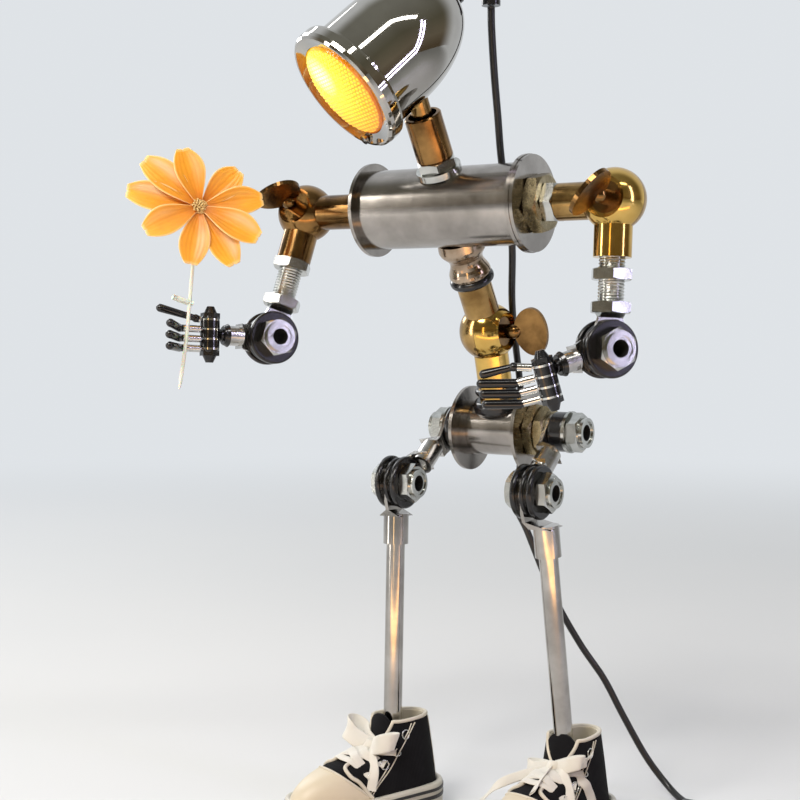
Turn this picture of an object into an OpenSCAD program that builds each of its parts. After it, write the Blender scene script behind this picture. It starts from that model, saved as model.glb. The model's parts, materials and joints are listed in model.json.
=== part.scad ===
// Robot shaped desk lamp: a bullet lamp for a head, lamp swivels for joints, lugs and rods for limbs.
// Right and left are the robot's own. It faces -Y, +Z is up, and the shoes stand on z = 0.

/* [Head lamp] */
// How far the trim ring stands out around the lamp
trim_lip = 3.05; // [1:0.05:6]
// Length of the bullet shell from the trim ring to its tip
head_len = 61; // [50:1:80]
// Outer diameter of the trim ring
trim_d = 51.6; // [44:0.2:66]
// Width of the trim ring along the lamp's axis
trim_w = 7; // [5:0.5:12]
// Width of the trim ring's front face, which slopes in to the lens
bevel_w = 5.8; // [3:0.2:8]
// Sheet thickness of the shell and the trim ring
head_wall = 1.2; // [0.8:0.1:2]
// How far the lamp looks down
head_down = 41; // [0:1:60]
// How far the lamp looks to the robot's right
head_yaw = 32; // [-60:1:60]
// How far the lamp leans about its own axis, which sets where the neck comes in
head_roll = -1.5; // [-30:0.5:30]
// Distance from the neck's top to the lamp's axis
head_clear = 26.6; // [24:0.2:36]
// Distance from the lens back to the neck's screw
head_along = 21; // [16:0.2:36]
// Diameter of the threaded stud between neck and lamp
stud_d = 8; // [6:0.1:10]

/* [Neck and torso] */
// Outer diameter of the neck tube
neck_d = 14.6; // [12:0.2:18]
// Length of the neck tube
neck_len = 18.4; // [12:0.2:35]
// Outer diameter of the torso tube
torso_d = 32; // [26:0.5:40]
// Length of the torso tube between its end discs
torso_len = 70; // [50:1:100]
// Diameter of the torso's end discs
torso_disc_d = 38; // [34:0.5:48]
// Thickness of each end disc
disc_t = 1.5; // [1:0.1:3]
// Wall of the torso and pelvis tubes
tube_wall = 1.5; // [1:0.1:2.5]
// How far the torso leans forward
torso_lean = 31.5; // [0:0.5:45]

/* [Swivels] */
// Diameter of a swivel's ball
ball_d = 24; // [20:0.5:30]
// Outer diameter of a swivel's tubes
swivel_tube_d = 14.4; // [12:0.2:16]
// Distance from a ball's centre to the end of its tube
swivel_reach = 21.5; // [18:0.5:28]
// Diameter of the clamp screws
screw_d = 4; // [3:0.1:5]
// Length of a thumb key's oval paddle
key_len = 22; // [14:0.5:26]
// Width of a thumb key's oval paddle
key_w = 15; // [9:0.5:18]

/* [Hardware] */
// Outer diameter of the lamp nipples that serve as axles and bolts
nipple_d = 9.7; // [8:0.1:11]
// Bore of the lamp nipples
nipple_bore = 6.6; // [4:0.1:7.5]
// Width across the flats of the zinc nuts
nut_af = 14.3; // [12:0.1:17]
// Width across the flats of the large bronze nuts
big_nut_af = 21; // [18:0.2:25]
// Diameter of the rubber washers at the elbows and knees
rubber_d = 22; // [18:0.2:26]
// Thickness of a flat lug palm
palm_t = 1.5; // [1:0.1:2.5]
// Play between a turning piece and the piece beside it
face_play = 0.1; // [0.05:0.01:0.2]

/* [Waist and pelvis] */
// Distance from the waist ball up to the torso's axis
waist_up = 58.2; // [50:0.5:75]
// Distance from the waist ball down to the pelvis's axis
waist_down = 43.2; // [38:0.5:55]
// How far the lower half of the waist leans forward
waist_lean = 15.5; // [0:0.5:30]
// Outer diameter of the pelvis tube
pelvis_d = 22; // [18:0.5:30]
// Length of the pelvis tube between its end discs
pelvis_len = 28; // [22:0.5:40]
// Diameter of the pelvis's end discs
pelvis_disc_d = 36; // [30:0.5:44]

/* [Arms] */
// Distance from a shoulder ball's centre to the elbow's axis
upper_arm_len = 55.5; // [52:0.5:70]
// Distance from the elbow's axis to the knuckle bolt
forearm_len = 27; // [24:0.5:40]
// How far the right arm reaches forward
right_arm_pitch = 19; // [0:1:40]
// How far the right arm reaches outward
right_arm_spread = 5; // [0:1:20]
// How far the left arm reaches forward
left_arm_pitch = 4; // [0:1:40]
// Heading of the right elbow bolt, from straight ahead towards the robot's left
right_elbow_turn = 62; // [0:1:90]
// Heading of the left elbow bolt, from straight ahead towards the robot's left
left_elbow_turn = 55; // [0:1:90]
// How far the left forearm points below the square to its upper arm
left_forearm_drop = 19; // [0:1:45]
// How far the right forearm points below the square to its upper arm
right_forearm_drop = 15.5; // [0:1:45]
// Diameter of a finger's ring eye
eye_d = 8; // [6.5:0.1:10]
// Sheet thickness of a ring eye
eye_t = 0.8; // [0.5:0.1:1.2]
// Height that each digit takes on the knuckle bolt
digit_pitch = 4; // [3.8:0.1:5]
// Diameter of a finger's bare barrel
finger_d = 3; // [2:0.1:3.4]
// Diameter of a finger's coated tip
finger_tip_d = 3.4; // [2.4:0.1:3.6]
// Diameter of the knuckle bolt
knuckle_d = 3; // [2:0.1:4]
// Length of a finger's bare barrel from the knuckle bolt
finger_barrel_len = 12; // [9:0.5:16]
// Length of a finger's coated tip
finger_tip_len = 14; // [8:0.5:20]

/* [Legs] */
// Distance from the hip's axis to the knee's axis
thigh_len = 36; // [32:0.5:50]
// Angle of the thighs forward from straight down
thigh_pitch = 52.5; // [30:0.5:70]
// Distance from the robot's middle to each thigh's palm at the knee
knee_x = 32; // [30:0.5:45]
// Outer diameter of a shin lug's barrel
shin_lug_d = 10.6; // [9.6:0.1:13]
// Diameter of the shin rods
rod_d = 7.8; // [6:0.1:9]
// Height of the knee's axis above the table
knee_height = 140.5; // [120:0.5:170]

/* [Shoes] */
// Length of a shoe's sole
shoe_len = 75; // [65:1:90]
// Width of a shoe's sole at the ball of the foot
shoe_w = 31; // [26:0.5:38]
// Width of a shoe's sole at the heel
heel_w = 27; // [22:0.5:32]
// Thickness of the sole's side wall
sole_h = 10; // [7:0.5:14]
// Height of the shoe's collar above the table
collar_h = 41; // [34:0.5:50]
// Thickness of the canvas
canvas_t = 1.6; // [1:0.1:2.5]

/* [Flower] */
// Distance from the flower's middle to a petal's tip
petal_reach = 27; // [18:0.5:34]
// Width of a petal
petal_w = 12; // [8:0.5:16]
// Thickness of a petal
petal_t = 0.6; // [0.4:0.1:1.2]
// Diameter of the flower's stem
stem_d = 1.6; // [1:0.1:2.5]

/* [Cord] */
// Outside diameter of the lamp cord
cord_d = 3; // [2.5:0.1:4]

/* [Hidden] */
$fn = 48;

// Finishes
chrome = "gainsboro";
steel = "silver";
zinc = "lightsteelblue";
bronze = "peru";
black = [0.08, 0.08, 0.09];
tinned = "lightgray";

// Where the robot stands: this puts the middle of its own box, without the cord, over the origin.
robot_x = 11;
robot_y = 2.55;
pelvis_y = robot_y + 43.5;
pelvis_z = knee_height + thigh_len * cos(thigh_pitch);
knee_y = pelvis_y - thigh_len * sin(thigh_pitch);

// Clearances
run_fit = 0.05;
hole_play = 0.1;

// ---------------------------------------------------------------- frames
module in_pelvis() translate([robot_x, pelvis_y, pelvis_z]) children();
module in_lower_waist() in_pelvis() rotate([waist_lean, 0, 0]) children();
module in_waist_ball() in_lower_waist() translate([0, 0, waist_down]) children();
module in_torso()
  in_waist_ball() rotate([torso_lean - waist_lean, 0, 0]) translate([0, 0, waist_up]) children();

// Lays a piece that is drawn along +Z so that it runs along +X.
module along_x() rotate([0, 90, 0]) children();

// ---------------------------------------------------------------- hardware
module tube(od, id, h) difference() {
  cylinder(d = od, h = h);
  translate([0, 0, -1]) cylinder(d = id, h = h + 2);
}

// Hexagon nut with both faces chamfered
module nut(af, h, bore, chamfer = 0.6) difference() {
  intersection() {
    cylinder(d = af / cos(30), h = h, $fn = 6);
    rotate_extrude() polygon([
      [0, 0], [af / 2 - 0.1, 0], [af / 2 / cos(30) + 0.1, chamfer],
      [af / 2 / cos(30) + 0.1, h - chamfer], [af / 2 - 0.1, h], [0, h]
    ]);
  }
  translate([0, 0, -1]) cylinder(d = bore, h = h + 2);
}

// Hexagon lock nut with a round collar, and a flange when flange_d is set
module lock_nut(af, h, bore, collar_d, collar_h, flange_d = 0, flange_t = 0) union() {
  if (flange_d > 0) tube(flange_d, bore, flange_t);
  translate([0, 0, flange_t]) nut(af, h, bore);
  translate([0, 0, flange_t + h]) tube(collar_d, bore, collar_h);
}

// Torus-sided rubber ring
module rubber_ring(od, id, h, edge = 0.8) rotate_extrude() union() {
  translate([id / 2, 0]) square([(od - id) / 2 - edge, h]);
  translate([id / 2, edge]) square([(od - id) / 2, h - 2 * edge]);
  for (z = [edge, h - edge]) translate([od / 2 - edge, z]) circle(r = edge, $fn = 24);
}

// ---------------------------------------------------------------- swivel
// Half a ball with its tube: the half lies on the -X side and the tube runs up +Z.
// The screw runs along X. The other half is the same piece, turned over.
ball_gap = 0.15;
cap_cut = ball_d / 2 - 2.6;
recess_d = 15.5;
recess_depth = 3.2;

module swivel_half(recessed, tube_reach = swivel_reach, bore = 0) {
  difference() {
    union() {
      intersection() {
        sphere(d = ball_d, $fn = 64);
        translate([-cap_cut, -ball_d, -ball_d]) cube([cap_cut - ball_gap / 2, 2 * ball_d, 2 * ball_d]);
      }
      difference() {
        cylinder(d = swivel_tube_d, h = tube_reach);
        sphere(d = ball_d + 2 * ball_gap, $fn = 64);
      }
      intersection() {
        cylinder(d = swivel_tube_d, h = ball_d / 2 + 1);
        translate([-ball_d / 2, -ball_d, 0]) cube([ball_d / 2 - ball_gap / 2, 2 * ball_d, ball_d]);
      }
    }
    along_x() cylinder(d = screw_d + 2 * run_fit, h = 2 * ball_d, center = true);
    if (recessed) translate([-cap_cut - 1, 0, 0]) along_x() cylinder(d = recess_d, h = recess_depth + 1);
    if (bore > 0) translate([0, 0, ball_d / 2 - 1]) cylinder(d = bore, h = tube_reach);
  }
}

// Clamp screw with its oval paddle, drawn with the screw along +X from the ball's centre
key_barrel_d = 6;
key_barrel_x = cap_cut - recess_depth;
key_paddle_t = 1.8;
module thumb_key(turn) {
  paddle_x = cap_cut + 3.4;
  color(bronze) rotate([turn, 0, 0]) union() {
    translate([-ball_d / 2 + 3, 0, 0]) along_x() cylinder(d = screw_d, h = key_barrel_x + ball_d / 2 - 2);
    translate([key_barrel_x + face_play, 0, 0]) along_x() {
      cylinder(d = 12, h = 1.4);
      cylinder(d = key_barrel_d, h = paddle_x - key_barrel_x);
      translate([0, 0, paddle_x - key_barrel_x]) sphere(d = key_barrel_d, $fn = 32);
    }
    // oval paddle, drawn in towards its barrel
    translate([paddle_x, 0, 0]) rotate([90, 0, 0]) linear_extrude(key_paddle_t, center = true)
      polygon([for (i = [0:47]) let (a = i * 7.5, u = (1 - cos(a)) / 2)
        [u * key_w, sin(a) * key_len / 2 * (0.82 + 0.18 * u)]]);
  }
}

// ---------------------------------------------------------------- lugs
// Cable lug: its round palm lies in the plane x = 0 round the origin, and its barrel hangs down -Z.
// The palm stays flat until it is clear of the washers, then it swells into the barrel.
// barrel_x is how far the barrel's axis stands off the palm's plane, and splay leans the barrel along X.
lug_flat = rubber_d / 2 + 0.6;
lug_swell = 2.6;
module lug(palm_d, hole_d, barrel_end, barrel_d, barrel_bore, barrel_x, splay = 0) {
  neck_w = palm_d * 0.62;
  barrel_top = lug_flat + lug_swell;
  difference() {
    union() {
      translate([-palm_t / 2, 0, 0]) along_x() cylinder(d = palm_d, h = palm_t);
      translate([-palm_t / 2, 0, 0]) rotate([90, 0, 90]) linear_extrude(palm_t) polygon([
        [-palm_d / 2 + 0.6, -palm_d * 0.2], [palm_d / 2 - 0.6, -palm_d * 0.2],
        [neck_w / 2, -lug_flat - 0.2], [-neck_w / 2, -lug_flat - 0.2]
      ]);
      intersection() {
        rotate([90, 0, 0]) translate([0, 0, -palm_d]) linear_extrude(2 * palm_d) polygon([
          [-palm_t / 2, -lug_flat], [palm_t / 2, -lug_flat],
          [barrel_x + barrel_d / 2 - 0.3, -barrel_top], [barrel_x - barrel_d / 2 + 0.3, -barrel_top]
        ]);
        translate([0, 0, -barrel_top]) linear_extrude(lug_swell) square([3 * palm_d, neck_w], center = true);
      }
      translate([barrel_x, 0, -barrel_top + 1]) rotate([0, -splay, 0])
        translate([0, 0, -barrel_end + barrel_top - 1]) cylinder(d = barrel_d, h = barrel_end - barrel_top + 1);
    }
    along_x() cylinder(d = hole_d, h = 4 * palm_d, center = true);
    if (barrel_bore > 0) translate([barrel_x, 0, -barrel_top + 1]) rotate([0, -splay, 0])
      translate([0, 0, -barrel_end + barrel_top - 2]) cylinder(d = barrel_bore, h = barrel_end - barrel_top);
  }
}

// ---------------------------------------------------------------- head
head_r = trim_d / 2 - trim_lip;
cyl_len = 24;
dome_len = head_len - cyl_len;

// The lamp's own frame: +Z runs out of the lens, and the shell's tip is at the origin.
neck_washer_t = 1.6;
neck_nut_h = 4;
neck_base = torso_d / 2 + neck_washer_t + neck_nut_h;
neck_top_z = neck_base + neck_len;
neck_foot = 8.2;
module in_head() in_torso() translate([0, 0, neck_top_z]) rotate([-torso_lean, 0, 0])
  rotate([0, 0, -head_yaw]) rotate([90 + head_down, 0, 0]) rotate([0, 0, -head_roll])
    translate([0, head_clear, head_along - head_len]) children();

// Half outline of the bullet shell's outside, from its tip to the trim ring: an ellipse, then a straight
function bullet(inset, steps = 16) = concat(
  [for (i = [0:steps]) let (a = 90 * i / steps)
    [(head_r - inset) * sin(a), dome_len - (dome_len - inset) * cos(a)]],
  [[head_r - inset, head_len - 2]]
);

module head_shell() color(chrome) difference() {
  in_head() rotate_extrude($fn = 72) polygon(concat(bullet(0), [[head_r - head_wall, head_len - 2]],
    [for (i = [len(bullet(head_wall)) - 2:-1:0]) bullet(head_wall)[i]]));
  in_torso() translate([0, 0, neck_top_z - 2]) cylinder(d = stud_d + hole_play, h = head_clear);
  in_head() translate([0, 0, -1]) cylinder(d = 6.4, h = 6);
}

trim_screw_at = -114;
module trim_ring() color(chrome) in_head() {
  difference() {
    translate([0, 0, head_len - trim_w]) rotate_extrude($fn = 72) polygon([
      [head_r + 0.05, 0], [trim_d / 2 - 0.9, 0], [trim_d / 2 - 0.2, 0.5], [trim_d / 2, 1.5],
      [trim_d / 2, trim_w - 2.2], [trim_d / 2 - 0.4, trim_w - 0.8], [trim_d / 2 - 1.2, trim_w],
      [trim_d / 2 - 2, trim_w], [trim_d / 2 - bevel_w, trim_w - 1.2], [trim_d / 2 - bevel_w, trim_w - 1.9],
      [head_r + 0.05, trim_w - 1.9]
    ]);
    rotate([0, 0, trim_screw_at]) translate([trim_d / 2 - 3.6, 0, head_len - 3]) cylinder(d = 1.8, h = 8);
  }
  rotate([0, 0, trim_screw_at]) translate([trim_d / 2 - 3.6, 0, head_len - 1.9]) union() {
    cylinder(d = 2, h = 1.9);
    translate([0, 0, 1.9]) cylinder(d = 3.8, h = 1);
  }
}

lens_r = trim_d / 2 - bevel_w - 0.2;
module lens() color("orange", 0.8) in_head() translate([0, 0, head_len - 2]) rotate_extrude($fn = 72) polygon([
  [0, 0.4], [lens_r - 0.8, -0.4], [lens_r - 0.8, -1.4], [lens_r, -1.4], [lens_r, 0.8], [lens_r - 1.6, 1.7], [0, 3]
]);

module reflector() color("whitesmoke") in_head() difference() {
  translate([0, 0, head_len - 22]) rotate_extrude($fn = 64) polygon([
    [6.4, 0], [9, 0.4], [14, 4], [lens_r - 1.6, 14], [lens_r - 0.4, 18.4], [lens_r - 1.2, 18.4],
    [lens_r - 2.6, 14.2], [13.4, 4.8], [8.8, 1.3], [6.4, 1.3]
  ]);
}

module bulb() in_head() translate([0, 0, head_len - 30]) {
  color(steel) tube(12.6, 11, 12);
  color(steel) translate([0, 0, -8]) tube(8, 5, 8);
  color(steel) translate([0, 0, -0.2]) cylinder(d = 11, h = 1.2);
  color("lightyellow") translate([0, 0, 1]) union() {
    cylinder(d = 9.2, h = 12);
    translate([0, 0, 12]) sphere(d = 9.2);
  }
}

// Rubber elbow at the shell's tip: it leaves along the lamp's axis and turns the cord straight down.
gland_r = 6.5;
gland_d = 6.2;
gland_out = 9;
gland_turn = 90 + head_down;
module cord_gland() color(black) in_head() rotate([0, 0, head_roll]) {
  translate([0, 0, 2.4]) cylinder(d = 9, h = 1.6);
  translate([0, 0, -gland_out - 0.3]) cylinder(d = gland_d, h = gland_out + 3.3);
  translate([0, 0, -2.2]) cylinder(d = 9.6, h = 1.8);
  translate([0, -gland_r, -gland_out]) rotate([-90, 0, 90]) {
    rotate_extrude(angle = gland_turn, $fn = 64) translate([gland_r, 0]) circle(d = gland_d - 0.4, $fn = 24);
    rotate([0, 0, gland_turn]) translate([gland_r, 0, 0]) rotate([-90, 0, 0]) {
      translate([0, 0, -0.3]) cylinder(d = gland_d, h = 2.7);
      translate([0, 0, 1.4]) cylinder(d = gland_d + 1.2, h = 2);
    }
  }
}

stud_low = neck_base + neck_foot;
module head_stud() color(bronze) in_torso() translate([0, 0, stud_low])
  cylinder(d = stud_d, h = neck_top_z + head_clear - head_r + 3 - stud_low);

// ---------------------------------------------------------------- torso
module neck_tube() color(bronze) in_torso() translate([0, 0, neck_base]) difference() {
  rotate_extrude() polygon([
    [0, 0], [neck_d / 2 - 0.6, 0], [neck_d / 2, 0.6], [neck_d / 2, neck_len - 0.5],
    [neck_d / 2 - 0.5, neck_len], [0, neck_len]
  ]);
  translate([0, 0, -1]) cylinder(d = stem_nipple_d + 2 * run_fit, h = neck_foot + 1);
  translate([0, 0, neck_foot - 1]) cylinder(d = stud_d + 2 * run_fit, h = neck_len);
  translate([0, 0, neck_len - 6]) cylinder(d = neck_d - 3.2, h = 7);
}

stem_nipple_d = 8.6;
module torso_tube() color(steel) in_torso() difference() {
  translate([-torso_len / 2, 0, 0]) along_x() tube(torso_d, torso_d - 2 * tube_wall, torso_len);
  cylinder(d = stem_nipple_d + hole_play, h = torso_d * 2, center = true);
}

module torso_discs() color(steel) in_torso() for (side = [-1, 1]) mirror([side < 0 ? 1 : 0, 0, 0]) {
  translate([torso_len / 2, 0, 0]) along_x() tube(torso_disc_d, nipple_d + hole_play, disc_t);
  translate([torso_len / 2 + disc_t, 0, 0]) along_x()
    tube(torso_disc_d - (side < 0 ? 9 : 0.6), nipple_d + hole_play, disc_t);
}

axle_reach = torso_len / 2 + 2 * disc_t + 17;
big_nut_h = 5.6;
zinc_nut_h = 5;
module torso_axle() color(zinc) in_torso() {
  translate([-axle_reach, 0, 0]) along_x() difference() {
    cylinder(d = nipple_d, h = 2 * axle_reach);
    translate([0, 0, -1]) cylinder(d = nipple_bore, h = axle_reach - nipple_d / 2);
    translate([0, 0, axle_reach + nipple_d / 2 + 1]) cylinder(d = nipple_bore, h = axle_reach);
  }
  translate([torso_len / 2 + 2 * disc_t + big_nut_h, 0, 0]) along_x() nut(nut_af, zinc_nut_h, nipple_d);
  translate([-torso_len / 2 - 2 * disc_t - 2.6, 0, 0]) along_x() nut(nut_af, 2.6, nipple_d);
  // the upright nipple of the neck, with its washer and nut outside and a nut inside the tube
  difference() {
    union() {
      translate([0, 0, nipple_d / 2 + 1]) cylinder(d = stem_nipple_d, h = neck_base - nipple_d / 2 + 6.8);
      translate([0, 0, torso_d / 2]) intersection() {
        translate([0, 0, -1]) cylinder(d = 18, h = neck_washer_t + 1);
        translate([-10, 0, -torso_d / 2]) rotate([0, 90, 0]) difference() {
          cylinder(d = 2 * torso_d, h = 20);
          cylinder(d = torso_d, h = 50, center = true);
        }
      }
      translate([0, 0, torso_d / 2 + neck_washer_t]) nut(nut_af, neck_nut_h, stem_nipple_d - 0.2);
    }
    translate([0, 0, nipple_d / 2]) cylinder(d = 5, h = 40);
  }
}

module torso_bronze_nut() color(bronze) in_torso() translate([torso_len / 2 + 2 * disc_t, 0, 0])
  along_x() rotate([0, 0, 12]) nut(big_nut_af, big_nut_h, nipple_d, 1);

flare_top = -torso_d / 2;
flare_len = 15;
module waist_flare() color(bronze) in_torso() difference() {
  translate([0, 0, flare_top - flare_len]) rotate_extrude() polygon(concat(
    [[0, 0], [8.3, 0], [8.7, 1.2]],
    [for (i = [0:10]) let (a = 180 * i / 10 - 90) [6.9 + 3 * pow(abs(sin(a)), 2.2) * (a < 0 ? 0.6 : 1), 1.2 + i * 1.18]],
    [[9.9, 13.6], [9.5, flare_len + 2], [0, flare_len + 2]]
  ));
  along_x() cylinder(d = torso_d, h = 60, center = true);
  translate([0, 0, flare_top - flare_len - 1]) cylinder(d = stem_nipple_d + hole_play, h = flare_len + 4);
}
o_ring_t = 3.6;
o_ring_z = flare_top - flare_len - o_ring_t;
module waist_o_ring() color(black) in_torso() translate([0, 0, o_ring_z])
  rubber_ring(18.4, stem_nipple_d + hole_play, o_ring_t, 1.6);

// ---------------------------------------------------------------- waist
module waist_swivel_upper() color(bronze) in_torso() {
  translate([0, 0, -waist_up]) swivel_half(false, waist_up + o_ring_z);
  translate([0, 0, o_ring_z - 4]) cylinder(d = stem_nipple_d, h = -o_ring_z + 4 - nipple_d / 2 - 1);
}

lower_reach = 24;
ring_z = waist_down - lower_reach;
upper_ring_h = 3;
band_h = 2.2;
saddle_h = ring_z - upper_ring_h - band_h - pelvis_d / 2 + 3;
module waist_swivel_lower() color(bronze) {
  in_waist_ball() rotate([0, 180, 0]) swivel_half(true, lower_reach);
  // the nipple that goes down through the rings into the pelvis tube, and the band between the rings
  in_lower_waist() translate([0, 0, ring_z + 4 - 4 - ring_z + nipple_d / 2 + 1.2])
    cylinder(d = stem_nipple_d, h = ring_z + 4 - nipple_d / 2 - 1.2);
  in_lower_waist() translate([0, 0, ring_z - upper_ring_h - band_h]) cylinder(d = 14.4, h = band_h);
}

// Rubber rings of the waist's foot: the lower one is a grommet that sits on the round of the pelvis tube
module waist_rings() color(black) {
  in_lower_waist() translate([0, 0, ring_z - upper_ring_h])
    rubber_ring(17.5, stem_nipple_d + hole_play, upper_ring_h, 1.3);
  difference() {
    in_lower_waist() translate([0, 0, ring_z - upper_ring_h - band_h - saddle_h])
      rubber_ring(20.6, stem_nipple_d + hole_play, saddle_h, 2.2);
    in_pelvis() along_x() cylinder(d = pelvis_d, h = 60, center = true);
  }
}

// ---------------------------------------------------------------- pelvis
end_band = 3;
module pelvis_tube() color(steel) difference() {
  in_pelvis() {
    translate([-pelvis_len / 2, 0, 0]) along_x() tube(pelvis_d, pelvis_d - 2 * tube_wall, pelvis_len);
    translate([-pelvis_len / 2, 0, 0]) along_x() tube(pelvis_d + 1.2, pelvis_d - 1, end_band);
  }
  in_lower_waist() cylinder(d = stem_nipple_d + hole_play, h = pelvis_d);
}

module pelvis_discs() color(steel) in_pelvis() for (side = [-1, 1]) {
  translate([side > 0 ? pelvis_len / 2 : -pelvis_len / 2 - disc_t, 0, 0]) along_x()
    tube(pelvis_disc_d, nipple_d + hole_play, disc_t);
}

// Stack of the left hip, outward from the disc: two bronze nuts, the lug's palm, a rubber washer, a flange nut
hip_face = pelvis_len / 2 + disc_t;
bronze_nut_h = [4.2, 4.5];
left_hip_palm = hip_face + bronze_nut_h[0] + bronze_nut_h[1] + face_play + palm_t / 2;
left_hip_rubber = left_hip_palm + palm_t / 2 + face_play;
left_hip_rubber_t = 6.4;
left_hip_nut = left_hip_rubber + left_hip_rubber_t;
// Stack of the right hip: a rubber washer, the lug's palm, a flange nut
right_hip_rubber_t = 7.2;
right_hip_palm = hip_face + right_hip_rubber_t + face_play + palm_t / 2;
right_hip_nut = right_hip_palm + palm_t / 2 + face_play;
hip_nut_h = 5;
hip_collar_h = 2;
hip_flange_t = 1.3;
hip_nut_reach = hip_flange_t + hip_nut_h + hip_collar_h;

module pelvis_axle() color(zinc) in_pelvis() {
  left_end = left_hip_nut + hip_nut_reach - 0.6;
  right_end = right_hip_nut + hip_nut_reach - 0.6;
  translate([-right_end, 0, 0]) along_x() difference() {
    cylinder(d = nipple_d, h = left_end + right_end);
    translate([0, 0, -1]) cylinder(d = nipple_bore, h = 13);
    translate([0, 0, left_end + right_end - 12]) cylinder(d = nipple_bore, h = 13);
  }
  translate([left_hip_nut, 0, 0]) along_x()
    lock_nut(nut_af, hip_nut_h, nipple_d, 12.4, hip_collar_h, 17.4, hip_flange_t);
  translate([-right_hip_nut, 0, 0]) mirror([1, 0, 0]) along_x()
    lock_nut(nut_af, hip_nut_h, nipple_d, 12.4, hip_collar_h, 17.4, hip_flange_t);
}

module hip_bronze_nuts() color(bronze) in_pelvis() {
  translate([hip_face, 0, 0]) along_x() rotate([0, 0, 20]) nut(big_nut_af, bronze_nut_h[0], nipple_d, 0.9);
  translate([hip_face + bronze_nut_h[0] + face_play, 0, 0]) along_x() rotate([0, 0, 4])
    nut(big_nut_af - 2, bronze_nut_h[1] - face_play, nipple_d, 0.9);
}

module hip_washers() color(black) in_pelvis() {
  translate([left_hip_rubber, 0, 0]) along_x() rubber_ring(16.6, nipple_d, left_hip_rubber_t);
  translate([-hip_face, 0, 0]) mirror([1, 0, 0]) along_x()
    rubber_ring(20.4, nipple_d, right_hip_rubber_t, 1.2);
}

// ---------------------------------------------------------------- legs
module in_hip(hip_x) in_pelvis() translate([hip_x, 0, 0]) rotate([-thigh_pitch, 0, 0]) children();
module in_knee(side) translate([robot_x + side * knee_x, knee_y, knee_height]) children();

thigh_barrel_d = 9.6;
eye_shank_d = 6.8;
// A hip lug whose barrel takes the shank of the knee eye
module thigh(side, hip_x) color(tinned) in_hip(hip_x) {
  offset = side * knee_x - hip_x;
  lug(15.4, nipple_d + hole_play, 25, thigh_barrel_d, eye_shank_d, offset / 2);
  translate([offset, 0, -thigh_len]) rotate([180, 0, 0])
    lug(16.4, nipple_d + hole_play, thigh_len - 15, eye_shank_d, 0, -offset / 2);
}

// Stack of a knee from the robot's right to its left, about the thigh's palm at x = 0:
// hexagon head, rubber washer, shin palm, rubber washer, thigh palm, rubber washer, lock nut
mid_rubber_t = 1.7;
out_rubber_t = 2.4;
shin_palm_x = -palm_t - mid_rubber_t - 2 * face_play;
stack_low = shin_palm_x - palm_t / 2 - face_play - out_rubber_t;
stack_high = palm_t / 2 + out_rubber_t;
bolt_head_h = 4.2;
joint_nut_h = 4.4;
joint_collar_h = 1.6;

module bolt_set() {
  color(zinc) translate([stack_low - bolt_head_h, 0, 0]) along_x() difference() {
    union() {
      nut(nut_af - 0.3, bolt_head_h, nipple_bore);
      cylinder(d = nipple_d, h = stack_high - stack_low + bolt_head_h + joint_nut_h + joint_collar_h - 0.5);
    }
    translate([0, 0, -1]) cylinder(d = nipple_bore, h = 60);
  }
  color(zinc) translate([stack_high, 0, 0]) along_x()
    lock_nut(nut_af, joint_nut_h, nipple_d, 12, joint_collar_h);
  color(black) translate([stack_low, 0, 0]) along_x() rubber_ring(rubber_d, nipple_d, out_rubber_t);
  color(black) translate([shin_palm_x + palm_t / 2 + face_play, 0, 0]) along_x()
    rubber_ring(rubber_d - 1.4, nipple_d, mid_rubber_t, 0.6);
  color(black) translate([palm_t / 2, 0, 0]) along_x() rubber_ring(rubber_d, nipple_d, out_rubber_t);
}

insole_z = sole_h - 1.5;
floor_z = insole_z + 2;
rod_in = 10;
// A shin lug with its rod, and the rod's foot: a nut and a washer on the shoe's floor
module shin(side, tilt, barrel_x, splay) {
  drop = knee_height - floor_z;
  difference() {
    in_knee(side) rotate([tilt, 0, 0]) translate([shin_palm_x, 0, 0]) {
      color(tinned) lug(17.4, nipple_d + hole_play, 26, shin_lug_d, rod_d - 0.2, barrel_x, splay);
      color(steel) translate([barrel_x, 0, -lug_flat - lug_swell + 1]) rotate([0, -splay, 0])
        translate([0, 0, -drop]) cylinder(d = rod_d, h = drop - rod_in + 7);
    }
    translate([-500, -500, floor_z - 50]) cube([1000, 1000, 50]);
  }
  if (side > 0) in_left_shoe() rod_foot();
  else in_right_shoe() rod_foot();
}
module rod_foot() color(zinc) translate([0, 0, floor_z]) {
  cylinder(d = 14, h = 1.2);
  cylinder(d = 12.4, h = 5, $fn = 6);
}

// ---------------------------------------------------------------- shoes
// Shoe frame: the rod comes down at the origin, the toe points to -Y, and the sole lies on z = 0.
rod_to_heel = 24;
toe_y = rod_to_heel - shoe_len;
// Half width of the sole's outline at y, from round heel to round toe
function toe_r() = shoe_w / 2 * 0.92;
function sole_outline(grow = 0, steps = 12) = concat(
  [for (i = [0:steps]) let (a = 180 * i / steps)
    [(heel_w / 2 + grow) * cos(a), rod_to_heel - heel_w / 2 + (heel_w / 2 + grow) * sin(a)]],
  [[-shoe_w / 2 * 0.9 - grow, -6], [-shoe_w / 2 - grow, toe_y + shoe_w * 0.66]],
  [for (i = [0:steps]) let (a = 180 + 180 * i / steps)
    [(shoe_w / 2 + grow) * cos(a), toe_y + shoe_w * 0.58 + (shoe_w * 0.58 + grow) * sin(a)]],
  [[shoe_w / 2 + grow, toe_y + shoe_w * 0.66], [shoe_w / 2 * 0.9 + grow, -6]]
);

module shoe_sole() color("white") difference() {
  linear_extrude(sole_h) polygon(sole_outline());
  translate([0, 0, insole_z]) linear_extrude(sole_h) polygon(sole_outline(-2.2));
}

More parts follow.
